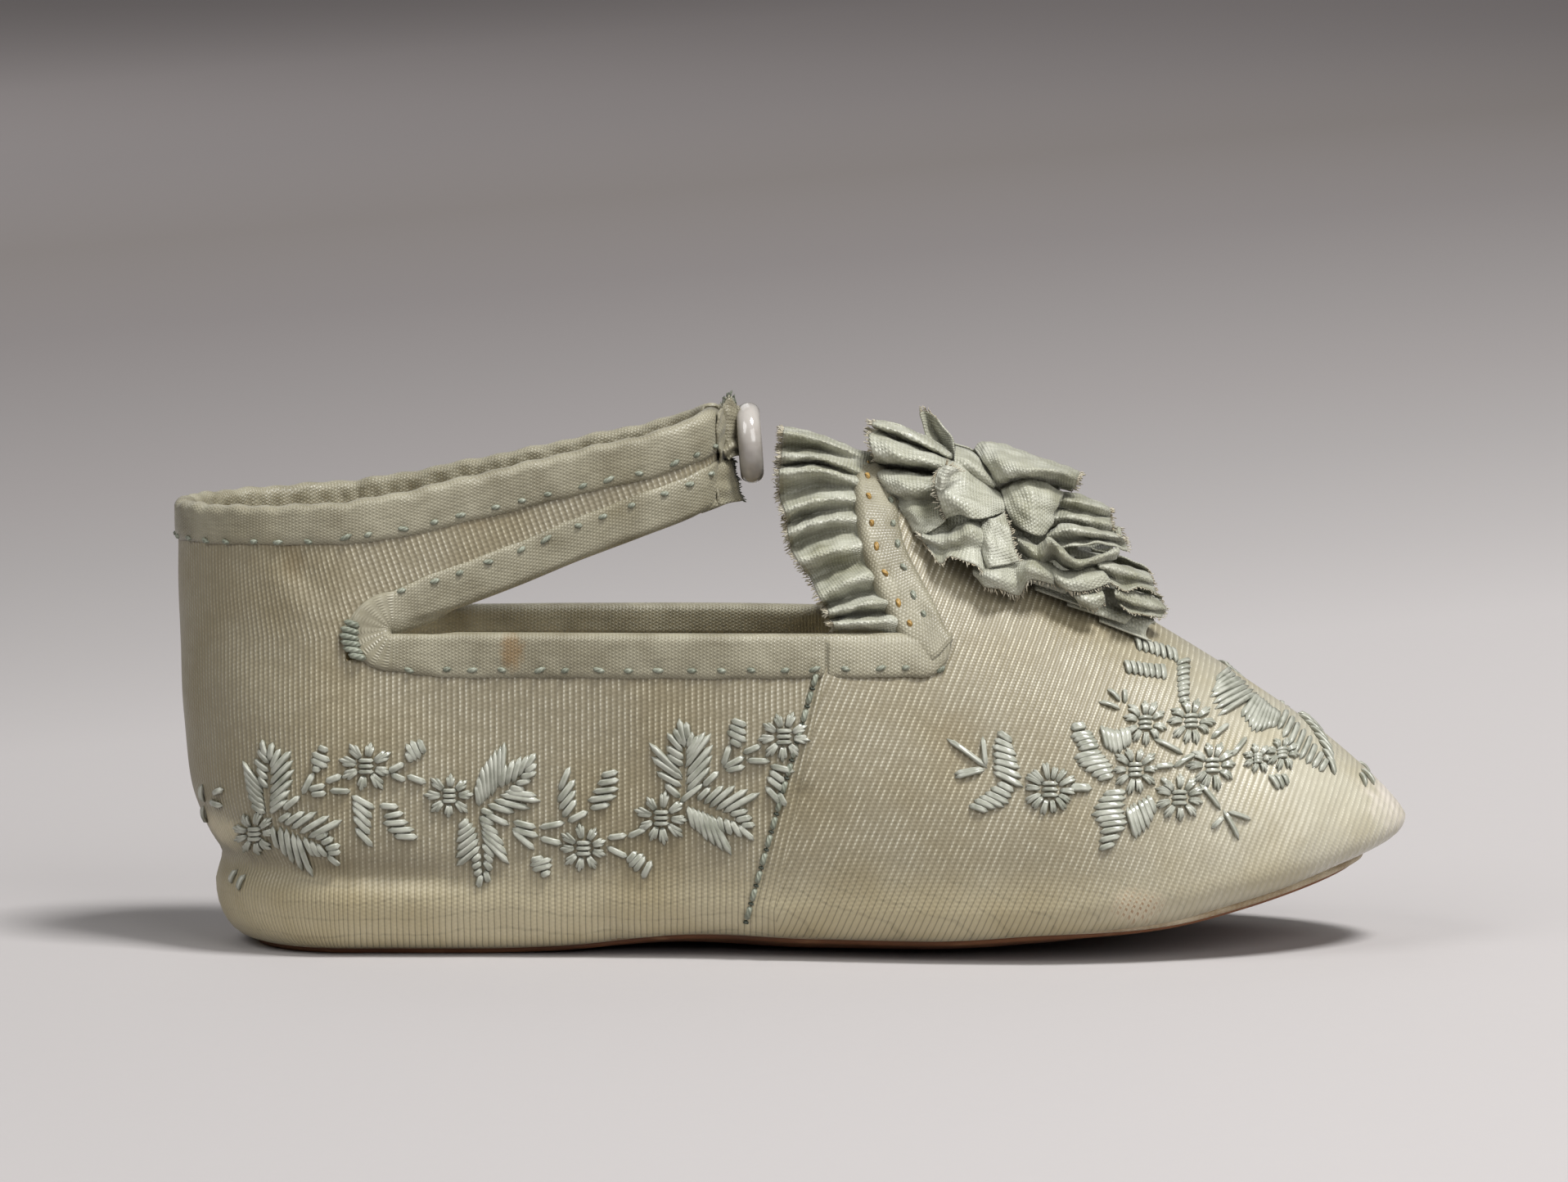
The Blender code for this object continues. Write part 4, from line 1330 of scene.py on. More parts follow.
def throat_surface(share: Array) -> Surface:
    """Reader of the cloth beside the throat edge.

    Args:
        share: places along the edge.

    Returns:
        Function of distance from the edge and height above the cloth.
    """
    x, angle, normal, into = throat_frame(share)
    step = 0.02
    by_x = (FORM.vamp(x + step, angle) - FORM.vamp(x - step, angle)) / (2 * step)
    by_angle = np.cross(normal, by_x)
    by_angle *= np.where(by_angle[:, 2:] >= 0, 1.0, -1.0)
    size = np.linalg.norm(FORM.vamp(x, angle - step) - FORM.vamp(x, angle), axis=1, keepdims=True) / step
    by_angle = unit(by_angle) * size
    pairs = zip(by_x, by_angle, into)
    moves = np.array([np.linalg.lstsq(np.stack([a, b], 1), c, rcond=None)[0] for a, b, c in pairs])

    def read(distance: Array, offset: Array) -> Array:
        """Points at distances from the edge and heights above the cloth."""
        reach = np.maximum(distance, 0.0)
        at_x = x[:, None] + moves[:, :1] * reach
        at_angle = np.minimum(angle[:, None] + moves[:, 1:] * reach, math.pi / 2)
        lip = into[:, None] * np.minimum(distance, 0.0)[..., None]
        return FORM.vamp(at_x, at_angle) + FORM.vamp_normal(at_x, at_angle) * offset[..., None] + lip

    return read


class Stitches:
    """Many short threads joined in one mesh, each a spindle of a few dozen faces laid along a line."""

    def __init__(self, name: str, sides: int = 6) -> None:
        """Starts an empty mesh.

        Args:
            name: the piece's name.
            sides: faces round each thread.
        """
        self.piece = Piece(name)
        self.sides = sides

    def lay(self, points: Array, normals: Array, width: float, height: float, blunt: float = 0.45) -> None:
        """Lays one thread over a line of points.

        Args:
            points: the thread's line on the cloth.
            normals: the cloth's normals there.
            width: the thread's breadth.
            height: how far it stands up.
            blunt: share of its length over which it reaches full breadth.
        """
        count = len(points)
        t = np.linspace(0.0, 1.0, count)
        swell = np.clip(np.minimum(t, 1 - t) / (0.5 * blunt + 1e-6), 0.0, 1.0)
        swell = np.sqrt(np.maximum(1 - (1 - swell) ** 2, 0.0)) * 0.92 + 0.08
        run = unit(np.gradient(points, axis=0))
        across = unit(np.cross(normals, run))
        turn = np.linspace(0, 2 * math.pi, self.sides + 1)
        round_ = np.cos(turn)[None, :, None] * across[:, None] * width / 2
        tall = (np.sin(turn)[None, :, None] + 0.35) * normals[:, None] * height / 2
        ring = points[:, None] + (round_ + tall) * swell[:, None, None]
        length = float(np.linalg.norm(points[-1] - points[0]))
        cloth = joined(turn[None, :] / 2.1, t[:, None] * length * 0.6)
        self.piece.grid(ring, cloth)

    def mirror(self) -> None:
        """Repeats every thread on the other side of the foot."""
        bm = self.piece.bm
        made = bmesh.ops.duplicate(bm, geom=bm.verts[:] + bm.edges[:] + bm.faces[:])
        verts = [item for item in made["geom"] if isinstance(item, bmesh.types.BMVert)]
        bmesh.ops.scale(bm, vec=(1.0, -1.0, 1.0), verts=verts)

    def build(self, thread: Material, slot: str) -> bpy.types.Object:
        """Closes every thread and makes the piece.

        Args:
            thread: finish of the threads.
            slot: handed on to Piece.finish, which does not use it.

        Returns:
            The new object.
        """
        self.piece.weld(0.002)
        bmesh.ops.holes_fill(self.piece.bm, edges=self.piece.bm.edges, sides=0)
        bmesh.ops.recalc_face_normals(self.piece.bm, faces=self.piece.bm.faces)
        return self.piece.finish((thread,), slot)


RIBBON_COLUMNS = 45
RIBBON_INSIDE = slice(19, 27)


@dataclass
class RibbonBinding:
    """Ribbon folded over the upper's edges and hemmed down with small stitches."""

    width: float = 3.4
    turn: float = 2.2
    lift: float = 0.34
    lip: float = 0.75
    stitch_gap: float = 2.85
    stitch_row: float = 2.6
    root: float = -37.2
    bend: float = 0.85
    joint: float = 3.5
    throat_out: float = 1.1
    gather: float = 0.15
    overcast: tuple[tuple[Place, Place], ...] = (
        ((-40.8, 31.0), (-39.4, 30.5)),
        ((-41.1, 30.4), (-39.4, 29.9)),
        ((-41.2, 29.8), (-39.4, 29.3)),
        ((-41.1, 29.2), (-39.2, 28.7)),
        ((-40.9, 28.6), (-39.0, 28.1)),
        ((-40.4, 28.0), (-38.7, 27.6)),
    )

    def section(self, wobble: Array, deep: Array) -> tuple[Array, Array, Array]:
        """Closed section of the folded ribbon for each column.

        Args:
            wobble: how far the hemmed edge wanders at each column.
            deep: how much further the ribbon reaches on the inside there.

        Returns:
            Distance from the edge, height above the cloth, and place across the ribbon.
        """
        bend = np.linspace(math.pi / 2, -math.pi / 2, 9)
        half, middle = (FORM.wall + 2 * self.lift) / 2, -FORM.wall / 2
        outer = np.linspace(1.0, 0.0, 10)[:-1] * self.width
        inner = np.linspace(0.0, 1.0, 5)[1:] * self.turn
        low, thin = -FORM.wall - self.lift, 0.2
        fold, lap = -self.lip * np.cos(bend), -0.5 * self.lip * np.cos(bend[::-1])
        distance = np.concatenate([outer[:1], outer, fold, inner, inner[::-1], lap, outer[::-1]])
        offset = np.concatenate(
            [
                [0.03],
                self.lift - 0.2 * np.exp(-((self.width - outer) / 0.35) ** 2),
                middle + half * np.sin(bend),
                low + 0 * inner,
                low + thin + 0 * inner,
                middle + (half - thin) * np.sin(bend[::-1]),
                0.03 + 0 * outer,
            ]
        )
        across = sums(np.hypot(np.diff(distance), np.diff(offset)))
        share = np.clip(distance, 0, None) / self.width
        inside = np.zeros(RIBBON_COLUMNS)
        inside[RIBBON_INSIDE] = share[RIBBON_INSIDE] * self.width / self.turn
        share[RIBBON_INSIDE] = 0.0
        distance = distance[None, :] + wobble[:, None] * share[None, :] + deep[:, None] * inside[None, :]
        return distance, np.broadcast_to(offset, distance.shape).copy(), across

    def bind(
        self,
        name: str,
        edge: Surface,
        flips: Array,
        hems: Sequence[tuple[float, Stitches]],
        trim: Array | float = 0.0,
        lap: Array | float = 0.0,
        skip: Array | float = 0.0,
        deep: Array | float = 0.0,
    ) -> Piece:
        """Folds ribbon over an edge.

        Args:
            name: the piece's name.
            edge: reader of the cloth beside the edge.
            flips: -1 for the stations on the near side, 1 on the far side.
            hems: distance of each row of stitches from the edge, and where it goes.
            trim: how much wider the ribbon is at each station.
            lap: how much higher it lies there.
            skip: above 0.5 for stations that carry no stitch.
            deep: how much further it reaches on the inside.

        Returns:
            The new piece.
        """
        columns = len(flips)
        line = edge(np.zeros((columns, 1)), np.zeros((columns, 1)))[:, 0]
        line[:, 1] *= flips
        run = arc(line)
        wander = 0.04 * np.sin(0.9 * run) + 0.03 * np.sin(2.3 * run + 1.0)
        distance, offset, across = self.section(wander + trim, np.broadcast_to(deep, (columns,)))
        outside = (np.arange(len(across)) < 10)[None, :]
        offset += outside * np.broadcast_to(lap, (columns,))[:, None]
        steps = self.stitch_gap * (1 + 0.16 * np.sin(np.arange(200) * 2.3))
        places = 1.1 + np.cumsum(steps) - steps[0]
        spots = [(at, int(np.argmin(np.abs(run - at)))) for at in places[places < run[-1] - 0.8]]
        spots = [(at, k) for at, k in spots if np.broadcast_to(skip, (columns,))[k] < 0.5]
        for row, _ in hems:
            for at, _ in spots:
                near = bump_line(np.hypot(run[:, None] - at, (distance - row) * 1.1), 0.62)
                offset -= 0.16 * near * outside
        pucker = 0.05 * np.sin(2 * math.pi * run / self.stitch_gap + np.sin(0.5 * run))
        offset += pucker[:, None] * bump_line(distance - self.width, 1.0) * outside
        points = edge(distance, offset)
        points[..., 1] *= flips[:, None]
        points[:, -1] = points[:, 0]
        piece = Piece(name)
        cloth = joined(run[:, None], across[None, :])
        piece.grid(points, cloth)
        piece.weld(0.004)
        bmesh.ops.holes_fill(piece.bm, edges=piece.bm.edges, sides=0)
        bmesh.ops.recalc_face_normals(piece.bm, faces=piece.bm.faces)
        for row, sew in hems:
            self.hem(points, distance, spots, row, sew)
        return piece

    def hem(
        self,
        points: Array,
        distance: Array,
        spots: Sequence[tuple[float, int]],
        place: float,
        sew: Stitches,
    ) -> None:
        """Sews a row of small stitches along a ribbon's edge.

        Args:
            points: the ribbon's points.
            distance: distance of each point from the bound edge.
            spots: place and column of each stitch.
            place: distance of the row from the bound edge.
            sew: where the stitches go.
        """
        for at, k in spots:
            row = 1 + int(np.argmin(np.abs(distance[k, 1:10] - place)))
            low, high = max(k - 1, 0), min(k + 1, len(points) - 1)
            along = unit(points[high, row] - points[low, row])
            over = unit(points[k, row - 1] - points[k, row + 1])
            normal = np.cross(along, over)
            normal *= (
                np.sign(normal[1] * points[k, row][1] + 1e-9)
                if abs(normal[1]) > 0.2
                else np.sign(-normal[0])
            )
            lean = along + over * 0.35 * math.sin(5.0 * at)
            half = 0.5 + 0.1 * math.sin(7.0 * at)
            t = np.linspace(-1, 1, 5)[:, None]
            line = points[k, row] + lean * half * t + normal * (0.1 - 0.1 * t * t)
            sew.lay(line, np.repeat(normal[None], 5, 0), 0.48, 0.38, 0.8)

    def build(self, ribbon: Material, thread: Material, gold: Material) -> None:
        """Binds the collar, both slits and the throat.

        Args:
            ribbon: finish of the ribbon.
            thread: finish of the hem stitches.
            gold: finish of the throat's stitches.
        """
        sew, bright = Stitches("hem_stitches"), Stitches("throat_stitches")
        self.collar(sew).finish((ribbon,), "ribbon", ("top_binding",))
        for side, name in ((-1.0, "right"), (1.0, "left")):
            self.slit(f"slit_ribbon_{name}", side, sew).finish((ribbon,), "ribbon", (f"slit_binding_{name}",))
        self.throat(sew, bright).finish((ribbon,), "ribbon", ("throat_binding",))
        sew.build(thread, "silk")
        bright.build(gold, "silk")

    def strap_stop(self) -> float:
        """Station where the strap's lapped end begins."""
        x = np.arange(-9.0, -6.1, 0.02)
        return float(x[np.argmax(FORM.strap_half(x, np.full_like(x, 46.0)) <= 2.8)])

    def collar(self, sew: Stitches) -> Piece:
        """Ribbon over the collar and the strap's upper edge, from one end of the strap to the other.

        Args:
            sew: where its stitches go.

        Returns:
            The new piece.
        """
        heel_share = np.linspace(0, 1, 62)
        x = np.linspace(FORM.slit_x, self.strap_stop(), 86)[1:]
        heel = heel_edge(heel_share)
        strap = side_edge(x, FORM.strap_high(x), np.tile([0.0, -1.0], (len(x), 1)))
        half = len(heel_share) + len(x)

        def read(distance: Array, offset: Array) -> Array:
            """Points at distances from the edge and heights above the cloth."""
            split, last = half - 1, len(heel_share)
            d, o = distance[split:], offset[split:]
            far = np.concatenate([heel(d[:last], o[:last]), strap(d[last:], o[last:])])
            d, o = distance[split::-1], offset[split::-1]
            near = np.concatenate([heel(d[:last], o[:last]), strap(d[last:], o[last:])])
            return np.concatenate([near[:0:-1], far])

        columns = 2 * half - 1
        place = np.arange(columns)
        flips = np.where(place < half - 1, -1.0, 1.0)
        middle = 1 - ease((np.abs(place - half + 1) - 40.0) / 40.0)
        window = ease(np.minimum(place, columns - 1 - place) / 14.0)
        wave = self.gather * window * (np.sin(0.83 * place) + 0.7 * np.sin(0.37 * place + 1.0))
        pucker = 1.3 * self.gather * window * np.sin(1.31 * place + 2.0 * np.sin(0.21 * place))
        inside = np.zeros(RIBBON_COLUMNS)
        inside[RIBBON_INSIDE] = 1.0

        def gathered(distance: Array, offset: Array) -> Array:
            """Points of the collar with the waves and puckers of the gathered ribbon."""
            if distance.shape[1] < RIBBON_COLUMNS:
                return read(distance, offset)
            near_fold = np.exp(-np.abs(distance) / 1.1)
            return read(distance + wave[:, None] * near_fold, offset + pucker[:, None] * inside[None, :])

        return self.bind("collar_ribbon", gathered, flips, ((self.stitch_row, sew),), -0.55 * middle)

    def slit(self, name: str, side: float, sew: Stitches) -> Piece:
        """Ribbon along the topline, round the root of the slit and along the strap's lower edge.

        Args:
            name: the piece's name.
            side: -1 on the near side, 1 on the far side.
            sew: where its stitches go.

        Returns:
            The new piece.
        """
        first, small = self.root + self.bend, 1e-3
        end = FORM.throat_x + 2.3
        x_top = np.concatenate(
            [np.linspace(end, self.joint + small, 36), np.linspace(self.joint, first, 104)]
        )
        bend = np.linspace(-math.pi / 2, math.pi / 2, 17)[1:-1]
        x_strap = np.linspace(first, self.strap_stop(), 80)
        low, high = FORM.topline_z, float(FORM.strap_low(first))
        x = np.concatenate([x_top, first - self.bend * np.cos(bend), x_strap])
        z_bend = (low + high) / 2 + (high - low) / 2 * np.sin(bend)
        z = np.concatenate([np.full_like(x_top, low), z_bend, FORM.strap_low(x_strap)])
        down, up = np.tile([0.0, -1.0], (len(x_top), 1)), np.tile([0.0, 1.0], (len(x_strap), 1))
        into = np.concatenate([down, np.column_stack([-np.cos(bend), np.sin(bend)]), up])
        # The joined end piece is rounded, and the ribbon is drawn in round the root
        rounded = np.sqrt(np.clip(1 - (np.maximum(x - end + 2.7, 0.0) / 2.75) ** 2, 0.0, 1.0)) - 1
        trim = self.width * rounded - 0.6 * np.abs(into[:, 1]) * (1 - ease((x - self.root) / 6.0))
        lap = np.where(x > self.joint + small / 2, 0.14, 0.0)
        skip = np.abs(x - self.root) < 1.5
        edge = side_edge(x, z, into)
        for foot, head in self.overcast:
            t = np.linspace(0.0, 1.0, 7)
            at_x, at_z = foot[0] + (head[0] - foot[0]) * t, foot[1] + (head[1] - foot[1]) * t
            mirror = np.array([1.0, side, 1.0])
            normal = FORM.side_normal(at_x, at_z) * mirror
            base = np.stack([at_x, FORM.side(at_x, at_z), at_z], -1) * mirror
            sew.lay(base + normal * (self.lift + 0.2 * np.sin(math.pi * t))[:, None], normal, 0.62, 0.45, 0.5)
        deep = 1.9 * (1 - ease((x - self.root) / 5.0))
        return self.bind(name, edge, np.full(len(x), side), ((self.stitch_row, sew),), trim, lap, skip, deep)

    def throat(self, sew: Stitches, bright: Stitches) -> Piece:
        """Ribbon over the throat edge, from corner to corner over the tongue's tip.

        Args:
            sew: where the stitches on the vamp go.
            bright: where those beside the fold go.

        Returns:
            The new piece.
        """
        share = np.linspace(-0.055, 1.0, 76)
        edge = throat_surface(share)
        half = len(share)

        def read(distance: Array, offset: Array) -> Array:
            """Points at distances from the edge and heights above the cloth."""
            near = edge(distance[:half] - self.throat_out, offset[:half])
            far = edge(distance[: half - 2 : -1] - self.throat_out, offset[: half - 2 : -1])
            near[-1, :, 1] = 0.0
            return np.concatenate([near, far[-2::-1]])

        flips = np.where(np.arange(2 * half - 1) < half, -1.0, 1.0)
        low, foot = 1 - ease((share + 0.055) / 0.16), 1 - ease(share / 0.5)
        low, foot = np.concatenate([low, low[-2::-1]]), np.concatenate([foot, foot[-2::-1]])
        trim = 1.2 * foot - 1.1 * low
        return self.bind(
            "throat_ribbon",
            read,
            flips,
            ((0.45, bright), (self.stitch_row, sew)),
            trim,
            0.3 * low,
            2.0 * low,
        )


class Edge(Enum):
    """The edges of a drape: its first and last line, and the lines' starts and ends."""

    FIRST = "first"
    LAST = "last"
    START = "start"
    END = "end"


class Far(Enum):
    """What the far side of the slipper gets of a drape that is drawn on the near side."""

    BARE = "bare"
    MIRRORED = "mirrored"


Drawn = tuple[tuple[float, float, float], ...]


def through(keys: Array, count: int) -> Array:
    """Smooth points through rows of keys.

    Args:
        keys: array of rows by columns by three.
        count: how many rows to make.

    Returns:
        Array of that many rows.
    """
    at = np.linspace(0.0, len(keys) - 1, count)
    i = np.minimum(at.astype(int), len(keys) - 2)
    t = (at - i)[:, None, None]
    padded = np.concatenate([2 * keys[:1] - keys[1:2], keys, 2 * keys[-1:] - keys[-2:-1]])
    a, b, c, d = padded[i], padded[i + 1], padded[i + 2], padded[i + 3]
    return 0.5 * (2 * b + (c - a) * t + (2 * a - 5 * b + 4 * c - d) * t**2 + (3 * b - a - 3 * c + d) * t**3)


@dataclass(frozen=True)
class Drape:
    """Ribbon folded by hand: lines drawn over it, as pixels of the photograph and a depth in millimetres."""

    lines: tuple[Drawn, ...]
    frayed: tuple[Edge, ...] = ()
    far: Far = Far.MIRRORED
    between: int = 6
    along: int = 7

    def points(self, studio: "Studio") -> Array:
        """Points of the ribbon.

        Args:
            studio: the camera that the lines are drawn for.

        Returns:
            Array of rows by columns by three.
        """
        keys = np.array(self.lines, float)
        rows = through(keys, (keys.shape[0] - 1) * self.between + 1)
        sheet = np.swapaxes(through(np.swapaxes(rows, 0, 1), (keys.shape[1] - 1) * self.along + 1), 0, 1)
        points = studio.at_depth(sheet[..., 0], sheet[..., 1], sheet[..., 2])
        normal = np.cross(np.gradient(points, axis=0), np.gradient(points, axis=1))
        x, y, z = np.moveaxis(points, -1, 0)
        crumple = (
            np.sin(2.1 * x + 1.3 * z + y) * np.sin(1.7 * z - 0.9 * x)
            + 0.7 * np.sin(4.3 * z + 2.9 * x - 2.0 * y)
        )
        return points + unit(normal) * (0.09 * crumple)[..., None]

    def edges(self, points: Array) -> list[tuple[Array, Array]]:
        """Frayed edges, each with the points one step further in.

        Args:
            points: the ribbon's points.

        Returns:
            Pairs of lines of points.
        """
        lines = {
            Edge.FIRST: (points[0], points[1]),
            Edge.LAST: (points[-1], points[-2]),
            Edge.START: (points[:, 0], points[:, 1]),
            Edge.END: (points[:, -1], points[:, -2]),
        }
        return [lines[edge] for edge in self.frayed]


def drape_all(name: str, drapes: Sequence[Drape], studio: "Studio", seed: int) -> tuple[Piece, Stitches]:
    """Joins drapes in one ribbon, and frays their raw edges.

    Args:
        name: the piece's name.
        drapes: the ribbon's folds.
        studio: the camera that they are drawn for.
        seed: start of the random draws.

    Returns:
        The ribbon and its loose threads.
    """
    piece, sew = Piece(name), Stitches(f"{name}_fray", 4)
    draw = np.random.default_rng(seed)
    for drape in drapes:
        near = drape.points(studio)
        for points in (near, mirrored(near)) if drape.far is Far.MIRRORED else (near,):
            steps = [np.linalg.norm(np.diff(points, axis=axis), axis=-1).mean(1 - axis) for axis in (0, 1)]
            across, run = [sums(step) for step in steps]
            piece.grid(points, joined(run[None, :], across[:, None]))
            for edge, inside in drape.edges(points):
                fray(sew, edge, unit(edge - inside), draw)
    piece.weld(0.002)
    return piece, sew


def fray(sew: Stitches, edge: Array, out: Array, draw: np.random.Generator) -> None:
    """Edges a ribbon with loose threads and small loops.

    Args:
        sew: where the threads go.
        edge: points along the ribbon's edge.
        out: directions out of the ribbon there.
        draw: random draws.
    """
    length = float(np.linalg.norm(np.diff(edge, axis=0), axis=1).sum())
    normal = unit(np.cross(np.gradient(edge, axis=0), out))
    for at in np.linspace(0.0, len(edge) - 1.001, max(3, int(length / 0.2))):
        k = int(at)
        root = edge[k] + (edge[k + 1] - edge[k]) * (at - k)
        lean = unit(edge[k + 1] - edge[k]) * draw.uniform(-0.3, 0.3)
        curl = normal[k] * draw.uniform(-0.22, 0.22)
        t = np.array([-0.25, 0.3, 0.75, 1.0])[:, None]
        line = root + (out[k] * draw.uniform(0.2, 0.75) + lean) * t + curl * t * t
        sew.lay(line, np.repeat(normal[k][None], 4, 0), 0.12, 0.11, 0.5)


@dataclass
class ThroatFrill:
    """Ribbon pleated into the throat edge, standing out behind it towards the ankle."""

    thick: float = 0.16
    swell: float = 1.6
    tuck: tuple[float, float, float] = (18.0, 4.0, 1.1)
    sewn: tuple[tuple[float, float], ...] = (
        (550, 0.0), (560, -1.9), (600, -4.7), (640, -6.9), (690, -9.6), (730, -11.4), (775, -13.0),
    )
    ridges: tuple[tuple[Pixel, Pixel, Pixel], ...] = (
        ((1051, 556), (1000, 537), (957, 529)),
        ((1049, 575), (1000, 559), (955, 558)),
        ((1049, 590), (1000, 575), (952, 578)),
        ((1050, 609), (1002, 611), (959, 624)),
        ((1052, 633), (1004, 637), (963, 652)),
        ((1060, 666), (1016, 673), (975, 686)),
        ((1076, 701), (1036, 711), (1002, 731)),
        ((1092, 735), (1058, 738), (1013, 749)),
        ((1103, 757), (1062, 760), (1018, 762)),
    )
    grooves: tuple[tuple[Pixel, Pixel, Pixel], ...] = (
        ((1050, 566), (1000, 550), (956, 547)),
        ((1049, 582), (1000, 567), (955, 569)),
        ((1048, 598), (1000, 594), (953, 606)),
        ((1050, 622), (1001, 626), (962, 640)),
        ((1056, 650), (1008, 652), (966, 668)),
        ((1064, 685), (1022, 694), (990, 706)),
        ((1085, 719), (1048, 727), (1009, 740)),
        ((1098, 748), (1060, 750), (1014, 756)),
        ((1110, 776), (1064, 774), (1022, 776)),
    )

    def lines(self) -> tuple[Drawn, ...]:
        """Ridges and grooves in turn, each with its depth.

        Returns:
            Lines from the sewn edge to the free edge, from the tongue's tip downwards.
        """
        heights, depths = np.array(self.sewn).T
        lines = [((1070, 554, 0.0), (1052, 551, 0.0), (1000, 533, 0.0), (958, 526, 0.0))]
        for number, (ridge, groove) in enumerate(zip(self.ridges, self.grooves)):
            for line, way in ((ridge, -1.0), (groove, 1.0)):
                seat = float(np.interp(line[0][1], heights, depths))
                lift = (0.35 * way, self.swell * way - 0.3, self.swell * 1.1 * way - 0.4)
                drawn = [(px, py, min(seat + move, -0.05)) for (px, py), move in zip(line, lift)]
                across, down, inside = self.tuck
                sewn = (line[0][0] + across + 2.4 * number, line[0][1] + down, min(seat + inside, -0.05))
                lines.append((sewn, *drawn))
        return tuple(lines)

    def build(self, studio: "Studio", ribbon: Material, loose: Material) -> None:
        """Pleats the ribbon and frays its free edge.

        Args:
            studio: the camera that the pleats are drawn for.
            ribbon: finish of the ribbon.
            loose: finish of the loose threads.
        """
        drape = Drape(self.lines(), (Edge.END,))
        piece, sew = drape_all("pleated_frill", (drape,), studio, seed=5)
        frill = piece.finish((ribbon,), "ribbon", ("throat_frill",))
        add_wall(frill, self.thick)
        sew.build(loose, "ribbon")


LEFT_FAN = Drape(
    (
        ((1070, 513, 0.6), (1100, 519, 0.2), (1135, 537, -0.5), (1166, 559, -1.5)),
        ((1066, 519, -1.8), (1100, 529, -2.4), (1135, 545, -2.7), (1165, 561, -2.7)),
        ((1077, 524, 0.4), (1104, 538, 0.0), (1138, 551, -0.8), (1163, 563, -2.0)),
        ((1062, 532, -2.6), (1100, 546, -3.8), (1138, 558, -4.0), (1166, 567, -3.5)),
        ((1068, 557, -3.4), (1100, 563, -4.8), (1140, 569, -4.9), (1166, 574, -4.2)),
        ((1074, 569, 0.2), (1100, 572, -0.2), (1140, 577, -1.0), (1164, 579, -3.0)),
        ((1072, 580, -3.6), (1100, 582, -5.2), (1138, 586, -5.3), (1162, 588, -4.6)),
        ((1083, 600, -4.6), (1104, 600, -6.4), (1136, 599, -6.6), (1150, 597, -5.7)),
        ((1089, 609, -3.6), (1108, 612, -5.4), (1135, 609, -5.4), (1148, 605, -5.0)),
        ((1099, 620, -5.4), (1115, 628, -7.1), (1130, 631, -7.4), (1150, 628, -6.7)),
        ((1113, 642, -6.0), (1121, 651, -7.7), (1133, 651, -8.2), (1156, 637, -7.4)),
    ),
    (Edge.START,),
)
TOP_LEAF = Drape(
    (
        ((1163, 561, 0.6), (1146, 547, 0.8), (1128, 522, 1.0), (1125, 504, 1.2)),
        ((1165, 561, 2.0), (1152, 545, 2.6), (1141, 525, 2.6), (1131, 503, 2.0)),
        ((1168, 559, 0.4), (1165, 546, 0.4), (1161, 531, 0.6), (1146, 513, 1.2)),
    ),
    (Edge.END,),
    Far.BARE,
)
UPPER_BAND = Drape(
    (
        ((1167, 546, -1.4), (1186, 552, -1.6), (1206, 573, -2.2), (1216, 589, -2.8)),
        ((1166, 557, -4.6), (1185, 563, -5.0), (1204, 579, -4.9), (1216, 592, -4.4)),
        ((1165, 571, -5.0), (1184, 576, -5.2), (1201, 587, -5.0), (1215, 595, -4.4)),
        ((1165, 576, -3.0), (1184, 582, -3.0), (1200, 592, -3.2), (1214, 598, -3.6)),
    ),
)
CURLED_LOOP = Drape(
    (
        ((1152, 570, -5.2), (1166, 565, -5.0), (1187, 577, -4.6), (1209, 594, -4.2), (1224, 604, -3.8)),
        ((1146, 576, -7.2), (1163, 571, -6.6), (1185, 584, -6.0), (1207, 599, -5.4), (1225, 608, -4.8)),
        ((1143, 592, -8.4), (1163, 587, -7.2), (1185, 596, -7.0), (1207, 605, -6.4), (1226, 612, -5.4)),
        ((1146, 607, -8.6), (1166, 601, -8.2), (1187, 608, -8.0), (1208, 614, -7.2), (1228, 617, -6.0)),
        ((1151, 622, -8.2), (1170, 617, -8.9), (1189, 621, -8.9), (1209, 623, -7.8), (1229, 621, -6.2)),
        ((1157, 633, -7.6), (1172, 629, -8.7), (1190, 634, -9.2), (1208, 632, -8.2), (1228, 625, -6.4)),
    ),
    (Edge.START,),
)
CURL = Drape(
    (
        ((1143, 596, -8.7), (1147, 580, -8.8), (1155, 569, -8.6)),
        ((1149, 600, -9.4), (1153, 583, -9.4), (1160, 570, -9.0)),
        ((1155, 597, -8.9), (1159, 583, -8.9), (1168, 572, -8.4)),
        ((1154, 592, -8.2), (1160, 580, -8.0), (1172, 577, -7.6)),
    ),
    (Edge.END,),
)
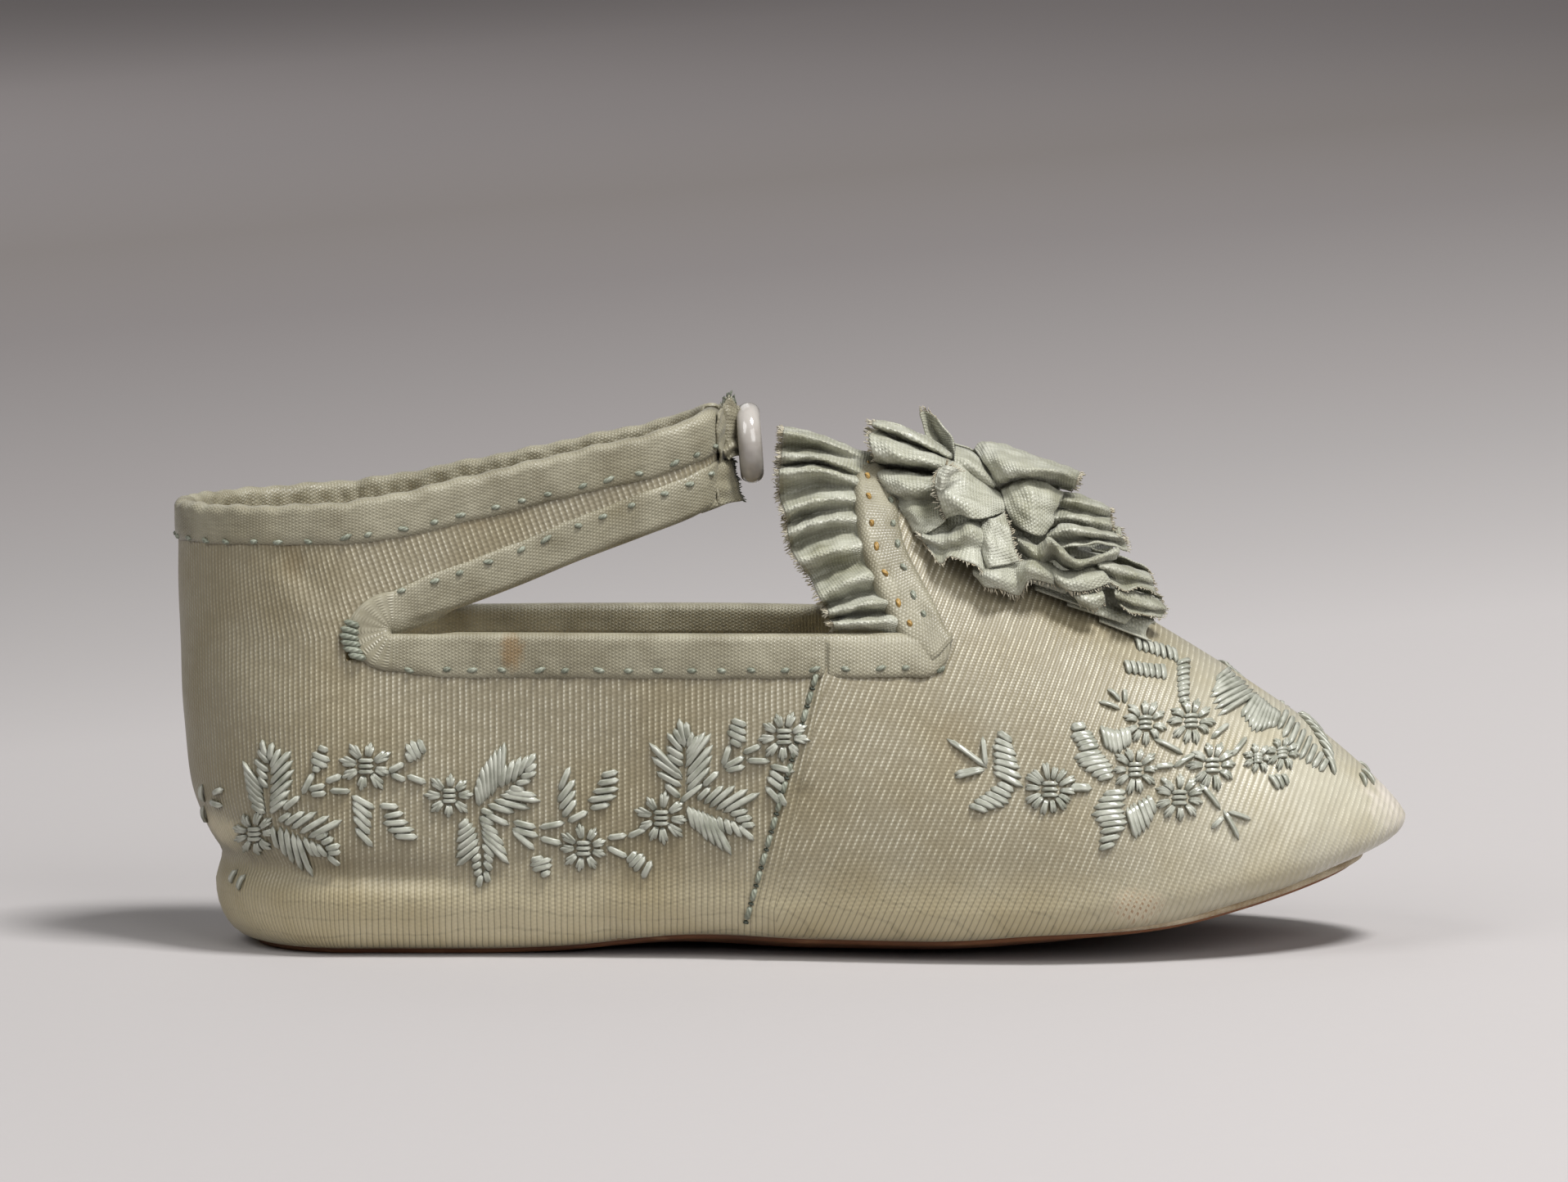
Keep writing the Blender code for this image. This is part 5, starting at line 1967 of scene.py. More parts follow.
BIG_PETAL = Drape(
    (
        (
            (1216, 596, 5.4), (1226, 592, 6.6), (1240, 590, 7.4), (1266, 592, 7.6), (1292, 596, 7.0),
            (1308, 600, 6.0),
        ),
        (
            (1200, 566, 4.6), (1208, 560, 5.4), (1226, 562, 6.0), (1262, 570, 6.4), (1294, 580, 6.0),
            (1316, 588, 5.2),
        ),
        (
            (1190, 549, 1.8), (1202, 541, 2.0), (1224, 543, 2.2), (1260, 556, 2.4), (1295, 568, 2.4),
            (1318, 577, 2.2),
        ),
        (
            (1195, 555, -1.2), (1207, 549, -1.8), (1228, 552, -2.4), (1262, 562, -2.8),
            (1296, 571, -2.4), (1319, 579, -1.4),
        ),
        (
            (1206, 571, -3.4), (1215, 565, -4.5), (1232, 566, -5.5), (1262, 570, -5.8),
            (1294, 575, -5.0), (1317, 583, -3.4),
        ),
        (
            (1216, 591, -3.8), (1225, 586, -5.0), (1240, 581, -6.1), (1264, 578, -6.2),
            (1292, 578, -5.2), (1315, 588, -3.6),
        ),
        (
            (1219, 594, -1.8), (1232, 589, -2.2), (1247, 586, -2.4), (1268, 587, -2.4),
            (1292, 592, -2.2), (1313, 598, -1.8),
        ),
    ),
    (Edge.END,),
    Far.BARE,
)
LOWER_FLAP = Drape(
    (
        ((1224, 600, -3.6), (1236, 591, -3.8), (1252, 585, -4.0), (1277, 591, -3.8), (1299, 603, -3.2)),
        ((1226, 607, -5.2), (1238, 598, -5.6), (1254, 593, -5.8), (1278, 597, -5.4), (1298, 608, -4.4)),
        ((1229, 618, -6.2), (1243, 611, -6.8), (1259, 607, -7.0), (1279, 610, -6.4), (1293, 616, -5.4)),
        ((1234, 631, -6.8), (1247, 629, -7.6), (1262, 630, -7.8), (1278, 627, -7.0), (1288, 629, -5.8)),
        ((1240, 641, -7.0), (1252, 648, -8.0), (1265, 654, -8.4), (1277, 653, -7.6), (1284, 642, -6.2)),
    ),
)
RIGHT_STACK = (
    Drape(
        (
            ((1290, 604, -0.4), (1315, 607, 0.0), (1340, 614, 0.0), (1355, 620, 0.0)),
            ((1292, 611, -3.6), (1314, 612, -3.8), (1340, 619, -3.0), (1357, 624, -1.6)),
            ((1286, 622, -2.4), (1310, 624, -2.4), (1336, 629, -1.8), (1356, 632, -1.0)),
            ((1282, 632, -5.4), (1306, 631, -5.8), (1334, 636, -5.0), (1358, 640, -3.2)),
            ((1281, 643, -4.0), (1302, 640, -4.4), (1332, 645, -3.8), (1358, 648, -2.4)),
        ),
        (Edge.END,),
    ),
    Drape(
        (
            ((1280, 652, -5.0), (1300, 640, -6.0), (1330, 645, -5.6), (1362, 653, -4.0)),
            ((1279, 657, -7.6), (1302, 648, -8.4), (1333, 651, -7.8), (1372, 657, -5.6)),
            ((1288, 663, -6.0), (1310, 660, -6.2), (1338, 658, -5.6), (1375, 664, -4.2)),
            ((1292, 669, -8.2), (1314, 667, -8.6), (1342, 664, -7.6), (1377, 674, -5.4)),
        ),
        (Edge.END,),
    ),
    Drape(
        (
            (
                (1242, 654, -6.4), (1256, 659, -7.6), (1268, 666, -8.4), (1281, 657, -9.4),
                (1296, 669, -9.8), (1316, 684, -9.4), (1338, 680, -8.4), (1366, 669, -6.6),
            ),
            (
                (1244, 661, -8.2), (1256, 669, -9.4), (1270, 679, -9.8), (1285, 663, -10.9),
                (1299, 678, -10.8), (1317, 689, -10.0), (1339, 684, -8.8), (1367, 674, -6.8),
            ),
            (
                (1247, 670, -6.6), (1258, 681, -7.6), (1272, 689, -8.0), (1286, 682, -7.4),
                (1301, 692, -7.6), (1318, 695, -7.2), (1339, 690, -6.4), (1364, 682, -5.0),
            ),
        ),
    ),
    Drape(
        (
            ((1338, 682, -5.4), (1360, 687, -5.2), (1385, 694, -4.2), (1404, 701, -3.2)),
            ((1342, 692, -8.2), (1364, 696, -7.6), (1388, 702, -6.2), (1408, 709, -4.4)),
            ((1350, 702, -6.4), (1368, 710, -6.2), (1390, 710, -5.2), (1410, 716, -3.8)),
            ((1357, 711, -8.8), (1374, 721, -8.4), (1394, 717, -7.0), (1412, 724, -5.0)),
        ),
        (Edge.END, Edge.LAST),
    ),
    Drape(
        (
            ((1362, 713, -6.4), (1382, 722, -6.2), (1402, 727, -5.2), (1418, 735, -4.2)),
            ((1362, 725, -9.2), (1381, 734, -8.6), (1402, 739, -7.2), (1424, 743, -5.0)),
            ((1366, 733, -7.8), (1383, 741, -7.4), (1404, 745, -6.2), (1422, 748, -4.6)),
            ((1370, 741, -9.4), (1385, 749, -9.0), (1404, 751, -7.6), (1420, 754, -5.6)),
        ),
        (Edge.END, Edge.LAST),
    ),
)
CASCADE = (
    Drape(
        (
            ((1128, 650, -6.4), (1150, 652, -7.2), (1170, 644, -7.2), (1186, 636, -7.2), (1202, 640, -6.6)),
            ((1126, 655, -9.0), (1149, 662, -9.8), (1171, 655, -10.2), (1188, 648, -10.2), (1203, 656, -9.4)),
            ((1131, 664, -8.2), (1148, 674, -9.2), (1170, 669, -9.8), (1190, 670, -10.0), (1205, 680, -9.6)),
            (
                (1138, 676, -9.8), (1149, 688, -10.6), (1164, 680, -11.0), (1189, 690, -11.6),
                (1205, 701, -11.0),
            ),
        ),
        (Edge.LAST, Edge.START),
    ),
    Drape(
        (
            ((1203, 632, -7.2), (1199, 650, -8.6), (1201, 672, -9.8), (1206, 696, -10.6)),
            ((1211, 634, -8.6), (1209, 652, -9.8), (1210, 674, -10.8), (1213, 693, -11.4)),
            ((1219, 631, -8.4), (1220, 650, -9.4), (1224, 672, -10.2), (1229, 690, -10.6)),
            ((1227, 626, -7.4), (1233, 645, -8.8), (1239, 668, -9.8), (1245, 686, -10.2)),
        ),
        (Edge.LAST,),
    ),
    Drape(
        (
            (
                (1188, 686, -8.0), (1204, 688, -9.0), (1222, 686, -9.6), (1240, 683, -9.2),
                (1262, 683, -8.8), (1286, 690, -7.8),
            ),
            (
                (1190, 699, -10.4), (1202, 702, -11.6), (1222, 703, -12.0), (1241, 704, -10.4),
                (1258, 693, -11.4), (1286, 701, -10.0),
            ),
            (
                (1193, 706, -10.0), (1203, 716, -11.4), (1224, 720, -11.8), (1246, 727, -10.2),
                (1258, 708, -11.4), (1288, 714, -10.0),
            ),
        ),
        (Edge.LAST,),
    ),
    Drape(
        (
            ((1284, 689, -7.0), (1302, 699, -7.6), (1322, 696, -7.6), (1342, 690, -6.4)),
            ((1286, 699, -9.8), (1303, 709, -10.6), (1325, 708, -10.2), (1351, 701, -8.6)),
            ((1290, 710, -9.8), (1307, 721, -10.6), (1331, 721, -10.2), (1359, 711, -8.6)),
        ),
        (Edge.LAST,),
    ),
    Drape(
        (
            ((1308, 718, -8.6), (1326, 720, -9.0), (1346, 718, -8.4)),
            ((1312, 728, -10.2), (1331, 732, -10.6), (1349, 728, -9.8)),
            ((1318, 737, -9.8), (1334, 744, -10.2), (1350, 736, -9.6)),
        ),
        (Edge.LAST,),
    ),
)


@dataclass
class Rosette:
    """Rosette of gathered ribbon sewn to the ridge of the vamp."""

    thick: float = 0.17
    tiers: tuple[tuple[float, float, float], ...] = (
        (12.5, 21.0, 2.6),
        (19.0, 25.0, 2.9),
        (22.5, 28.0, 2.6),
        (25.5, 30.5, 2.2),
        (28.5, 33.0, 1.5),
    )
    tier_reach: float = 0.4
    drapes: tuple[Drape, ...] = (
        LEFT_FAN, TOP_LEAF, UPPER_BAND, CURLED_LOOP, CURL, BIG_PETAL, LOWER_FLAP, *RIGHT_STACK, *CASCADE
    )

    def tier(self, start: float, end: float, rise: float) -> Array:
        """One short frill across the ridge, under the folds.

        Args:
            start: where it is sewn down.
            end: where its free edge is.
            rise: how high the free edge stands.

        Returns:
            Array of rows by columns by three.
        """
        share, turn = np.linspace(0.0, 1.0, 13)[:, None], np.linspace(-1.0, 1.0, 61)[None, :]
        x = start + (end - start) * share + 0.4 * np.sin(13.0 * turn + start) * share
        angle = math.pi / 2 - self.tier_reach * np.abs(turn)
        lift = (
            0.15
            + rise * (0.3 + 0.7 * share) * (1 - 0.5 * turn**2)
            + 0.4 * np.sin(19.0 * turn + start) * share
        )
        points = FORM.vamp(x, angle) + FORM.vamp_normal(x, angle) * lift[..., None]
        points[..., 1] *= np.where(turn < 0, -1.0, 1.0)
        return points

    def build(self, studio: "Studio", ribbon: Material, loose: Material) -> None:
        """Folds the ribbon and frays its raw edges.

        Args:
            studio: the camera that the folds are drawn for.
            ribbon: finish of the ribbon.
            loose: finish of the loose threads.
        """
        piece, sew = drape_all("ribbon_rosette", self.drapes, studio, seed=20)
        for tier in self.tiers:
            points = self.tier(*tier)
            piece.grid(points, points[..., :2] * np.array([1.0, 1.3]))
        rosette = piece.finish((ribbon,), "ribbon", ("rosette",))
        add_wall(rosette, self.thick)
        sew.build(loose, "ribbon")


@dataclass
class StrapEnd:
    """Crumpled ribbon round the strap's end, tied down with thread."""

    front: float = -6.1
    start: float = -7.0
    lift: float = 0.35
    thick: float = 0.22
    folds: tuple[Drape, ...] = (
        Drape(
            (
                ((882, 496, -1.9), (881, 520, -1.9), (883, 549, -1.9)),
                ((891, 486, -1.7), (890, 520, -2.0), (892, 551, -2.0)),
                ((900, 495, -1.1), (900, 520, -1.3), (901, 548, -1.3)),
            ),
            (Edge.START,),
        ),
        Drape(
            (
                ((898, 497, -1.0), (899, 520, -1.2), (898, 545, -1.2)),
                ((906, 499, -1.3), (907, 520, -1.6), (907, 540, -1.6)),
                ((913, 504, -0.2), (914, 522, -0.3), (914, 542, -0.3)),
            ),
        ),
        Drape(
            (
                ((882, 548, -2.1), (896, 537, -1.8), (913, 536, -0.4)),
                ((884, 553, -2.8), (897, 544, -2.5), (914, 543, -1.0)),
                ((886, 557, -2.2), (898, 549, -1.9), (914, 549, -0.6)),
                ((890, 562, -2.6), (900, 556, -2.3), (913, 558, -0.8)),
            ),
        ),
        Drape(
            (
                ((846, 563, -5.0), (872, 562, -3.2), (896, 562, -1.0)),
                ((848, 580, -5.6), (876, 577, -3.8), (897, 574, -1.4)),
                ((852, 600, -5.8), (880, 596, -3.9), (901, 592, -1.2)),
                ((858, 627, -5.4), (886, 616, -3.4), (906, 612, -0.8)),
            ),
            (Edge.END,),
        ),
    )

    def build(self, studio: "Studio", ribbon: Material, thread: Material) -> None:
        """Wraps the end, lays its folds and ties it.

        Args:
            studio: the camera that the folds are drawn for.
            ribbon: finish of the ribbon.
            thread: finish of the tie.
        """
        turn = np.linspace(-1.0, 1.0, 41)[:, None]
        row = np.linspace(0.0, 1.0, 29)[None, :]
        pinch = bump_line(row - 0.36, 0.16)
        begin = self.start + 0.3 * pinch - 0.12 * np.sin(9.0 * row)
        x = begin + (self.front - begin) * np.sin((1 - np.abs(turn)) * math.pi / 2)
        low, high = FORM.strap_low(x) - 0.45, FORM.strap_high(x) + 0.35
        corner = bump_line(np.abs(turn) - 0.75, 0.22)
        high = high + 0.3 * corner
        low = low - 0.3 * corner
        z = low + (high - low) * row
        y = np.maximum(FORM.strap_half(x, z), 0.0) * np.sign(turn)
        normal = FORM.side_normal(np.minimum(x, self.front - 0.06), z) * joined(1.0, np.sign(turn), 1.0)
        nose = ease((np.abs(turn) - 0.02) / 0.2)[..., None]
        normal = unit(normal * nose + np.array([1.0, 0.0, 0.0]) * (1 - nose))
        crumple = 0.1 * np.sin(14.0 * row + 5.0 * turn) + 0.08 * np.sin(31.0 * row - 9.0 * turn + 1.0)
        lift = self.lift + crumple * (1 - 0.6 * bump_line(turn, 0.3)) - 0.3 * pinch
        points = joined(x, y, z) + normal * np.maximum(lift, 0.15)[..., None]
        piece = Piece("strap_end_ribbon")
        cloth = joined(turn * 8.0, row * 8.0)
        piece.grid(points, cloth)
        piece.weld(0.002)
        end = piece.finish((ribbon,), "ribbon", ("strap_end",))
        add_wall(end, self.thick, -1.0)
        sew = Stitches("strap_tie")
        for row_at, reach in ((0.33, 0.0), (0.37, 0.25), (0.41, 0.1)):
            k = int(row_at * 28)
            line = points[:12, k] + normal[:12, k] * (0.22 + reach * 0.3)
            sew.lay(line, normal[:12, k], 0.3, 0.26, 0.2)
        sew.build(thread, "ribbon")
        piece, loose = drape_all("strap_end_folds", self.folds, studio, seed=3)
        folds = piece.finish((ribbon,), "ribbon")
        add_wall(folds, self.thick)
        loose.build(thread, "ribbon")


@dataclass
class ChinaButton:
    """Pressed white china button with a dished face and four thread holes."""

    radius: float = 3.8
    half: float = 1.1
    rim: float = 0.95
    dish: float = 0.5
    centre: tuple[float, float, float] = (-3.6, 0.0, 46.3)
    tilt: float = math.radians(4.0)
    hole_ring: float = 1.1

    def profile(self) -> list[tuple[float, float]]:
        """Radius and height of the turned section, from the middle of the face to that of the back.

        Returns:
            Pairs of radius and height.
        """
        face = [
            (r, self.half - self.dish * (1 - float(ease(np.array((r / self.radius - 0.42) / 0.26)))))
            for r in np.arange(0.0, 2.75, 0.13)
        ]
        turn = np.linspace(math.pi / 2, -math.pi / 2, 13)
        edge = [(self.radius - self.rim + self.rim * math.cos(t), self.half * math.sin(t)) for t in turn]
        return face + edge + [(1.4, -self.half), (0.0, -self.half)]

    def place(self, point: Sequence[float]) -> Vector:
        """Point carried from the button's own axes to the strap's front."""
        turned = Matrix.Rotation(math.pi / 2 - self.tilt, 3, "Y") @ Vector(point)
        return turned + Vector(self.centre)

    def build(self, china: Material, thread: Material) -> None:
        """Turns the button, sinks its holes and sews it on.

        Args:
            china: finish of the button.
            thread: finish of the sewing thread.
        """
        piece = Piece("china_button")
        bm = piece.bm
        verts = [bm.verts.new((r, 0.0, h)) for r, h in self.profile()]
        edges = [bm.edges.new(pair) for pair in zip(verts, verts[1:])]
        bmesh.ops.spin(
            bm, geom=verts + edges, axis=(0, 0, 1), cent=(0, 0, 0), steps=64, angle=2 * math.pi,
            use_merge=True,
        )
        piece.weld(0.003)
        holes = [
            (self.hole_ring * math.cos(a), self.hole_ring * math.sin(a))
            for a in np.radians((45, 135, 225, 315))
        ]
        for vert in bm.verts:
            near = min(math.hypot(vert.co.x - x, vert.co.y - y) for x, y in holes)
            if vert.co.z > 0.0:
                vert.co.z -= 0.7 * math.exp(-((near / 0.42) ** 4))
            vert.co = self.place(vert.co)
        piece.finish((china,), "china", ("button",))
        sew = Stitches("button_thread")
        for start, end in ((0, 2), (1, 3)):
            t = np.linspace(0, 1, 9)[:, None]
            over = np.array(holes[start]) * (1 - t) + np.array(holes[end]) * t
            height = 0.62 - 0.5 * (2 * t - 1) ** 4
            line = np.array([self.place(point) for point in np.hstack([over, height])])
            out = np.array(self.place((0, 0, 1)) - self.place((0, 0, 0)))
            sew.lay(line, np.repeat(out[None], 9, 0), 0.42, 0.34, 0.3)
        sew.build(thread, "ribbon")


Line = tuple[float, float, float, float]


@dataclass(frozen=True)
class Fan:
    """Satin stitches laid side by side, with a few of them drawn and the rest between those.

    Each drawn stitch is where it comes up and where it goes down, in the photograph's pixels.
    """

    count: int
    drawn: tuple[Line, ...]
    width: float = 0.62

    def lines(self) -> Array:
        """Every stitch of the fan.

        Returns:
            Array of stitches by four.
        """
        keys = np.array(self.drawn, float)
        at = np.linspace(0.0, len(keys) - 1, self.count) if self.count > 1 else np.zeros(1)
        return np.stack([np.interp(at, np.arange(len(keys)), keys[:, k]) for k in range(4)], -1)


@dataclass(frozen=True)
class Flower:
    """A flower of satin petals, with its middle and radius in the photograph's pixels."""

    x: float
    y: float
    radius: float
    petals: int
    strands: int = 3
    turn: float = 0.0


def row(*drawn: Line, width: float = 0.62) -> Fan:
    """A fan with every stitch drawn."""
    return Fan(len(drawn), drawn, width)


GARLAND_FLOWERS = (
    Flower(312, 1018, 29, 9), Flower(447, 936, 34, 8, 3, 0.25), Flower(549, 972, 31, 8),
    Flower(713, 1036, 33, 9, 3, 0.3), Flower(808, 999, 34, 9), Flower(958, 900, 34, 9, 3, 0.2),
    Flower(258, 1042, 22, 7),
)
GARLAND_FANS = (
    Fan(6, ((325, 993, 307, 981), (324, 980, 300, 952), (322, 962, 297, 930))),
    row((328, 963, 317, 946), (328, 952, 314, 936), (329, 942, 312, 927), (329, 932, 316, 916)),
    row((327, 926, 321, 903), (331, 930, 334, 907), (332, 940, 343, 915)),
    Fan(6, ((329, 993, 351, 978), (329, 975, 360, 946), (331, 946, 357, 917))),
    Fan(5, ((340, 1004, 357, 993), (356, 1012, 388, 991), (376, 1024, 418, 1001))),
    row(
        (386, 1024, 401, 1018), (392, 1030, 408, 1023), (397, 1036, 416, 1032), (400, 1041, 416, 1041),
        (401, 1043, 415, 1057),
    ),
    Fan(5, ((334, 1008, 341, 1037), (350, 1011, 359, 1056), (364, 1020, 382, 1071))),
    row((372, 1022, 384, 1046), (380, 1026, 392, 1047), (387, 1030, 400, 1047)),
    row((388, 913, 401, 917), (382, 920, 404, 930), (379, 928, 400, 938), (382, 938, 393, 941)),
    row(
        (384, 943, 370, 971), (368, 972, 346, 990), (398, 960, 377, 965), (399, 969, 379, 970),
        (418, 948, 398, 955),
    ),
    row((429, 967, 402, 965), (495, 932, 474, 943), (477, 946, 495, 953), (497, 948, 521, 957)),
    row((496, 918, 503, 932), (497, 909, 508, 930), (503, 904, 514, 928), (511, 903, 519, 921)),
    row(
        (429, 972, 458, 987), (431, 979, 455, 999), (430, 985, 454, 1011), (432, 996, 453, 1020),
        (434, 1011, 455, 1034),
    ),
    row(
        (464, 984, 487, 986), (468, 997, 494, 993), (468, 1006, 500, 1004), (473, 1014, 507, 1014),
        (480, 1021, 511, 1023),
    ),
    row(
        (247, 958, 250, 980), (249, 984, 253, 1004), (258, 979, 273, 984), (262, 970, 273, 964),
        (282, 1080, 291, 1062), (292, 1088, 300, 1068),
    ),
    Fan(8, ((586, 985, 583, 958), (594, 978, 590, 934), (604, 970, 604, 917), (612, 955, 616, 907)), 0.6),
    Fan(5, ((613, 963, 617, 932), (626, 956, 637, 924), (640, 941, 655, 921))),
    row((641, 945, 656, 934), (636, 951, 655, 943), (629, 957, 650, 953)),
    Fan(6, ((588, 988, 604, 995), (600, 979, 644, 991), (614, 969, 665, 976), (622, 963, 641, 965))),
    Fan(6, ((573, 1000, 561, 1011), (584, 1014, 557, 1033), (587, 1033, 557, 1057))),
    row((588, 1044, 576, 1053), (589, 1053, 577, 1061), (589, 1061, 580, 1069), (589, 1067, 584, 1085)),
    Fan(5, ((585, 998, 604, 1008), (588, 1008, 616, 1032), (589, 1020, 623, 1055))),
    row((590, 1031, 603, 1047), (591, 1041, 602, 1055), (592, 1051, 601, 1064), (594, 1062, 597, 1078)),
    row(
        (590, 993, 623, 1008), (627, 1004, 656, 1011), (658, 1011, 690, 1004), (694, 1003, 718, 991),
        (626, 1012, 659, 1022),
    ),
    row(
        (660, 1024, 688, 1031), (626, 1013, 653, 1038), (742, 1024, 767, 1020), (767, 1022, 791, 1012),
        (742, 1034, 767, 1048),
    ),
    row((684, 966, 697, 936), (681, 980, 702, 952), (683, 990, 704, 965), (687, 999, 704, 977)),
    row(
        (735, 948, 755, 943), (730, 958, 757, 952), (724, 967, 756, 963), (718, 977, 754, 972),
        (720, 988, 745, 982),
    ),
    row((648, 1052, 664, 1048), (647, 1058, 674, 1050), (650, 1063, 675, 1057), (660, 1069, 673, 1065)),
    row((766, 1053, 778, 1040), (768, 1059, 787, 1043), (775, 1065, 789, 1046), (785, 1073, 797, 1052)),
    Fan(4, ((831, 974, 812, 957), (834, 954, 797, 934), (835, 949, 793, 907))),
    row((835, 936, 815, 921), (835, 927, 814, 911), (835, 919, 816, 896), (834, 911, 824, 889)),
    row((837, 914, 830, 878), (841, 906, 838, 881), (842, 914, 846, 894)),
    Fan(6, ((838, 967, 868, 937), (838, 952, 871, 914), (837, 935, 868, 891), (839, 924, 853, 899))),
    Fan(5, ((852, 978, 869, 961), (866, 987, 898, 959), (883, 992, 929, 968))),
    row((892, 995, 914, 990), (899, 1002, 920, 999), (905, 1007, 923, 1008)),
    Fan(6, ((840, 984, 848, 1013), (856, 990, 869, 1031), (869, 995, 893, 1045))),
    row((878, 997, 884, 1019), (886, 1000, 893, 1020), (893, 1002, 906, 1023), (901, 1008, 922, 1027)),
    row(
        (830, 980, 859, 957), (858, 960, 879, 942), (884, 937, 892, 910), (884, 938, 911, 924),
        (886, 941, 911, 936),
    ),
    row((907, 920, 931, 911), (911, 929, 941, 931), (941, 935, 971, 943)),
    row((893, 880, 912, 887), (890, 886, 913, 897), (889, 893, 912, 906), (891, 903, 906, 912)),
    row((941, 942, 960, 956), (938, 949, 958, 966), (936, 961, 956, 983), (951, 968, 961, 986)),
)
VAMP_FLOWERS = (
    Flower(1283, 965, 35, 14, 2), Flower(1387, 941, 31, 10), Flower(1399, 884, 30, 10, 3, 0.2),
    Flower(1455, 882, 30, 10), Flower(1441, 975, 33, 10, 3, 0.3), Flower(1481, 936, 32, 10),
    Flower(1536, 928, 19, 7), Flower(1566, 921, 22, 8, 3, 0.2),
)
VAMP_FANS = (
    row(
        (1157, 902, 1206, 938), (1201, 900, 1205, 938), (1165, 945, 1203, 939), (1166, 951, 1203, 942),
        width=0.5,
    ),
    Fan(7, ((1218, 894, 1236, 908), (1213, 911, 1242, 923), (1213, 929, 1246, 938), (1213, 942, 1251, 961))),
    Fan(6, ((1218, 957, 1239, 968), (1200, 970, 1231, 984), (1184, 983, 1208, 991))),
    row((1307, 963, 1334, 964), (1307, 890, 1327, 887), width=0.85),
    Fan(4, ((1307, 901, 1336, 896), (1318, 915, 1343, 910))),
    Fan(6, ((1311, 926, 1346, 919), (1320, 938, 1359, 931), (1341, 953, 1361, 947))),
    Fan(6, ((1346, 885, 1353, 916), (1361, 890, 1366, 923), (1376, 888, 1379, 912))),
    Fan(
        9,
        (
            (1348, 970, 1377, 967), (1332, 993, 1375, 989), (1343, 1010, 1379, 1006),
            (1342, 1038, 1362, 1031),
        ),
    ),
    Fan(6, ((1377, 986, 1388, 1026), (1388, 978, 1401, 1016), (1402, 971, 1412, 995))),
    Fan(7, ((1375, 806, 1379, 825), (1419, 812, 1422, 831))),
    Fan(7, ((1387, 779, 1392, 796), (1432, 791, 1437, 809))),
    Fan(8, ((1437, 812, 1454, 808), (1440, 858, 1453, 854))),
    Fan(11, ((1440, 776, 1430, 789), (1470, 792, 1458, 812), (1500, 813, 1478, 824))),
    Fan(7, ((1503, 818, 1486, 831), (1522, 833, 1478, 852), (1536, 846, 1488, 874))),
    Fan(8, ((1538, 849, 1517, 876), (1549, 857, 1532, 897), (1561, 868, 1553, 889)), 0.7),
    row((1550, 947, 1562, 966), (1558, 946, 1568, 964), (1566, 945, 1573, 960)),
    Fan(8, ((1572, 868, 1561, 892), (1598, 893, 1584, 926), (1621, 929, 1612, 942))),
    Fan(8, ((1580, 867, 1600, 880), (1603, 890, 1627, 914), (1621, 924, 1631, 947))),
    Fan(10, ((1592, 862, 1606, 872), (1625, 890, 1638, 902), (1652, 920, 1660, 931)), 0.5),
    row((1655, 926, 1676, 936), (1662, 940, 1679, 959), (1660, 945, 1668, 961), width=0.5),
    row(
        (1495, 989, 1514, 1026), (1500, 991, 1529, 1001), (1479, 1012, 1495, 997),
        (1465, 957, 1491, 990), width=0.5,
    ),
    row(
        (1409, 903, 1446, 921), (1410, 938, 1435, 936), (1434, 937, 1461, 921), (1419, 950, 1429, 962),
        (1480, 902, 1501, 884), width=0.55,
    ),
    row(
        (1342, 858, 1369, 867), (1353, 842, 1369, 858), (1373, 841, 1374, 860), (1505, 925, 1523, 901),
        width=0.5,
    ),
)


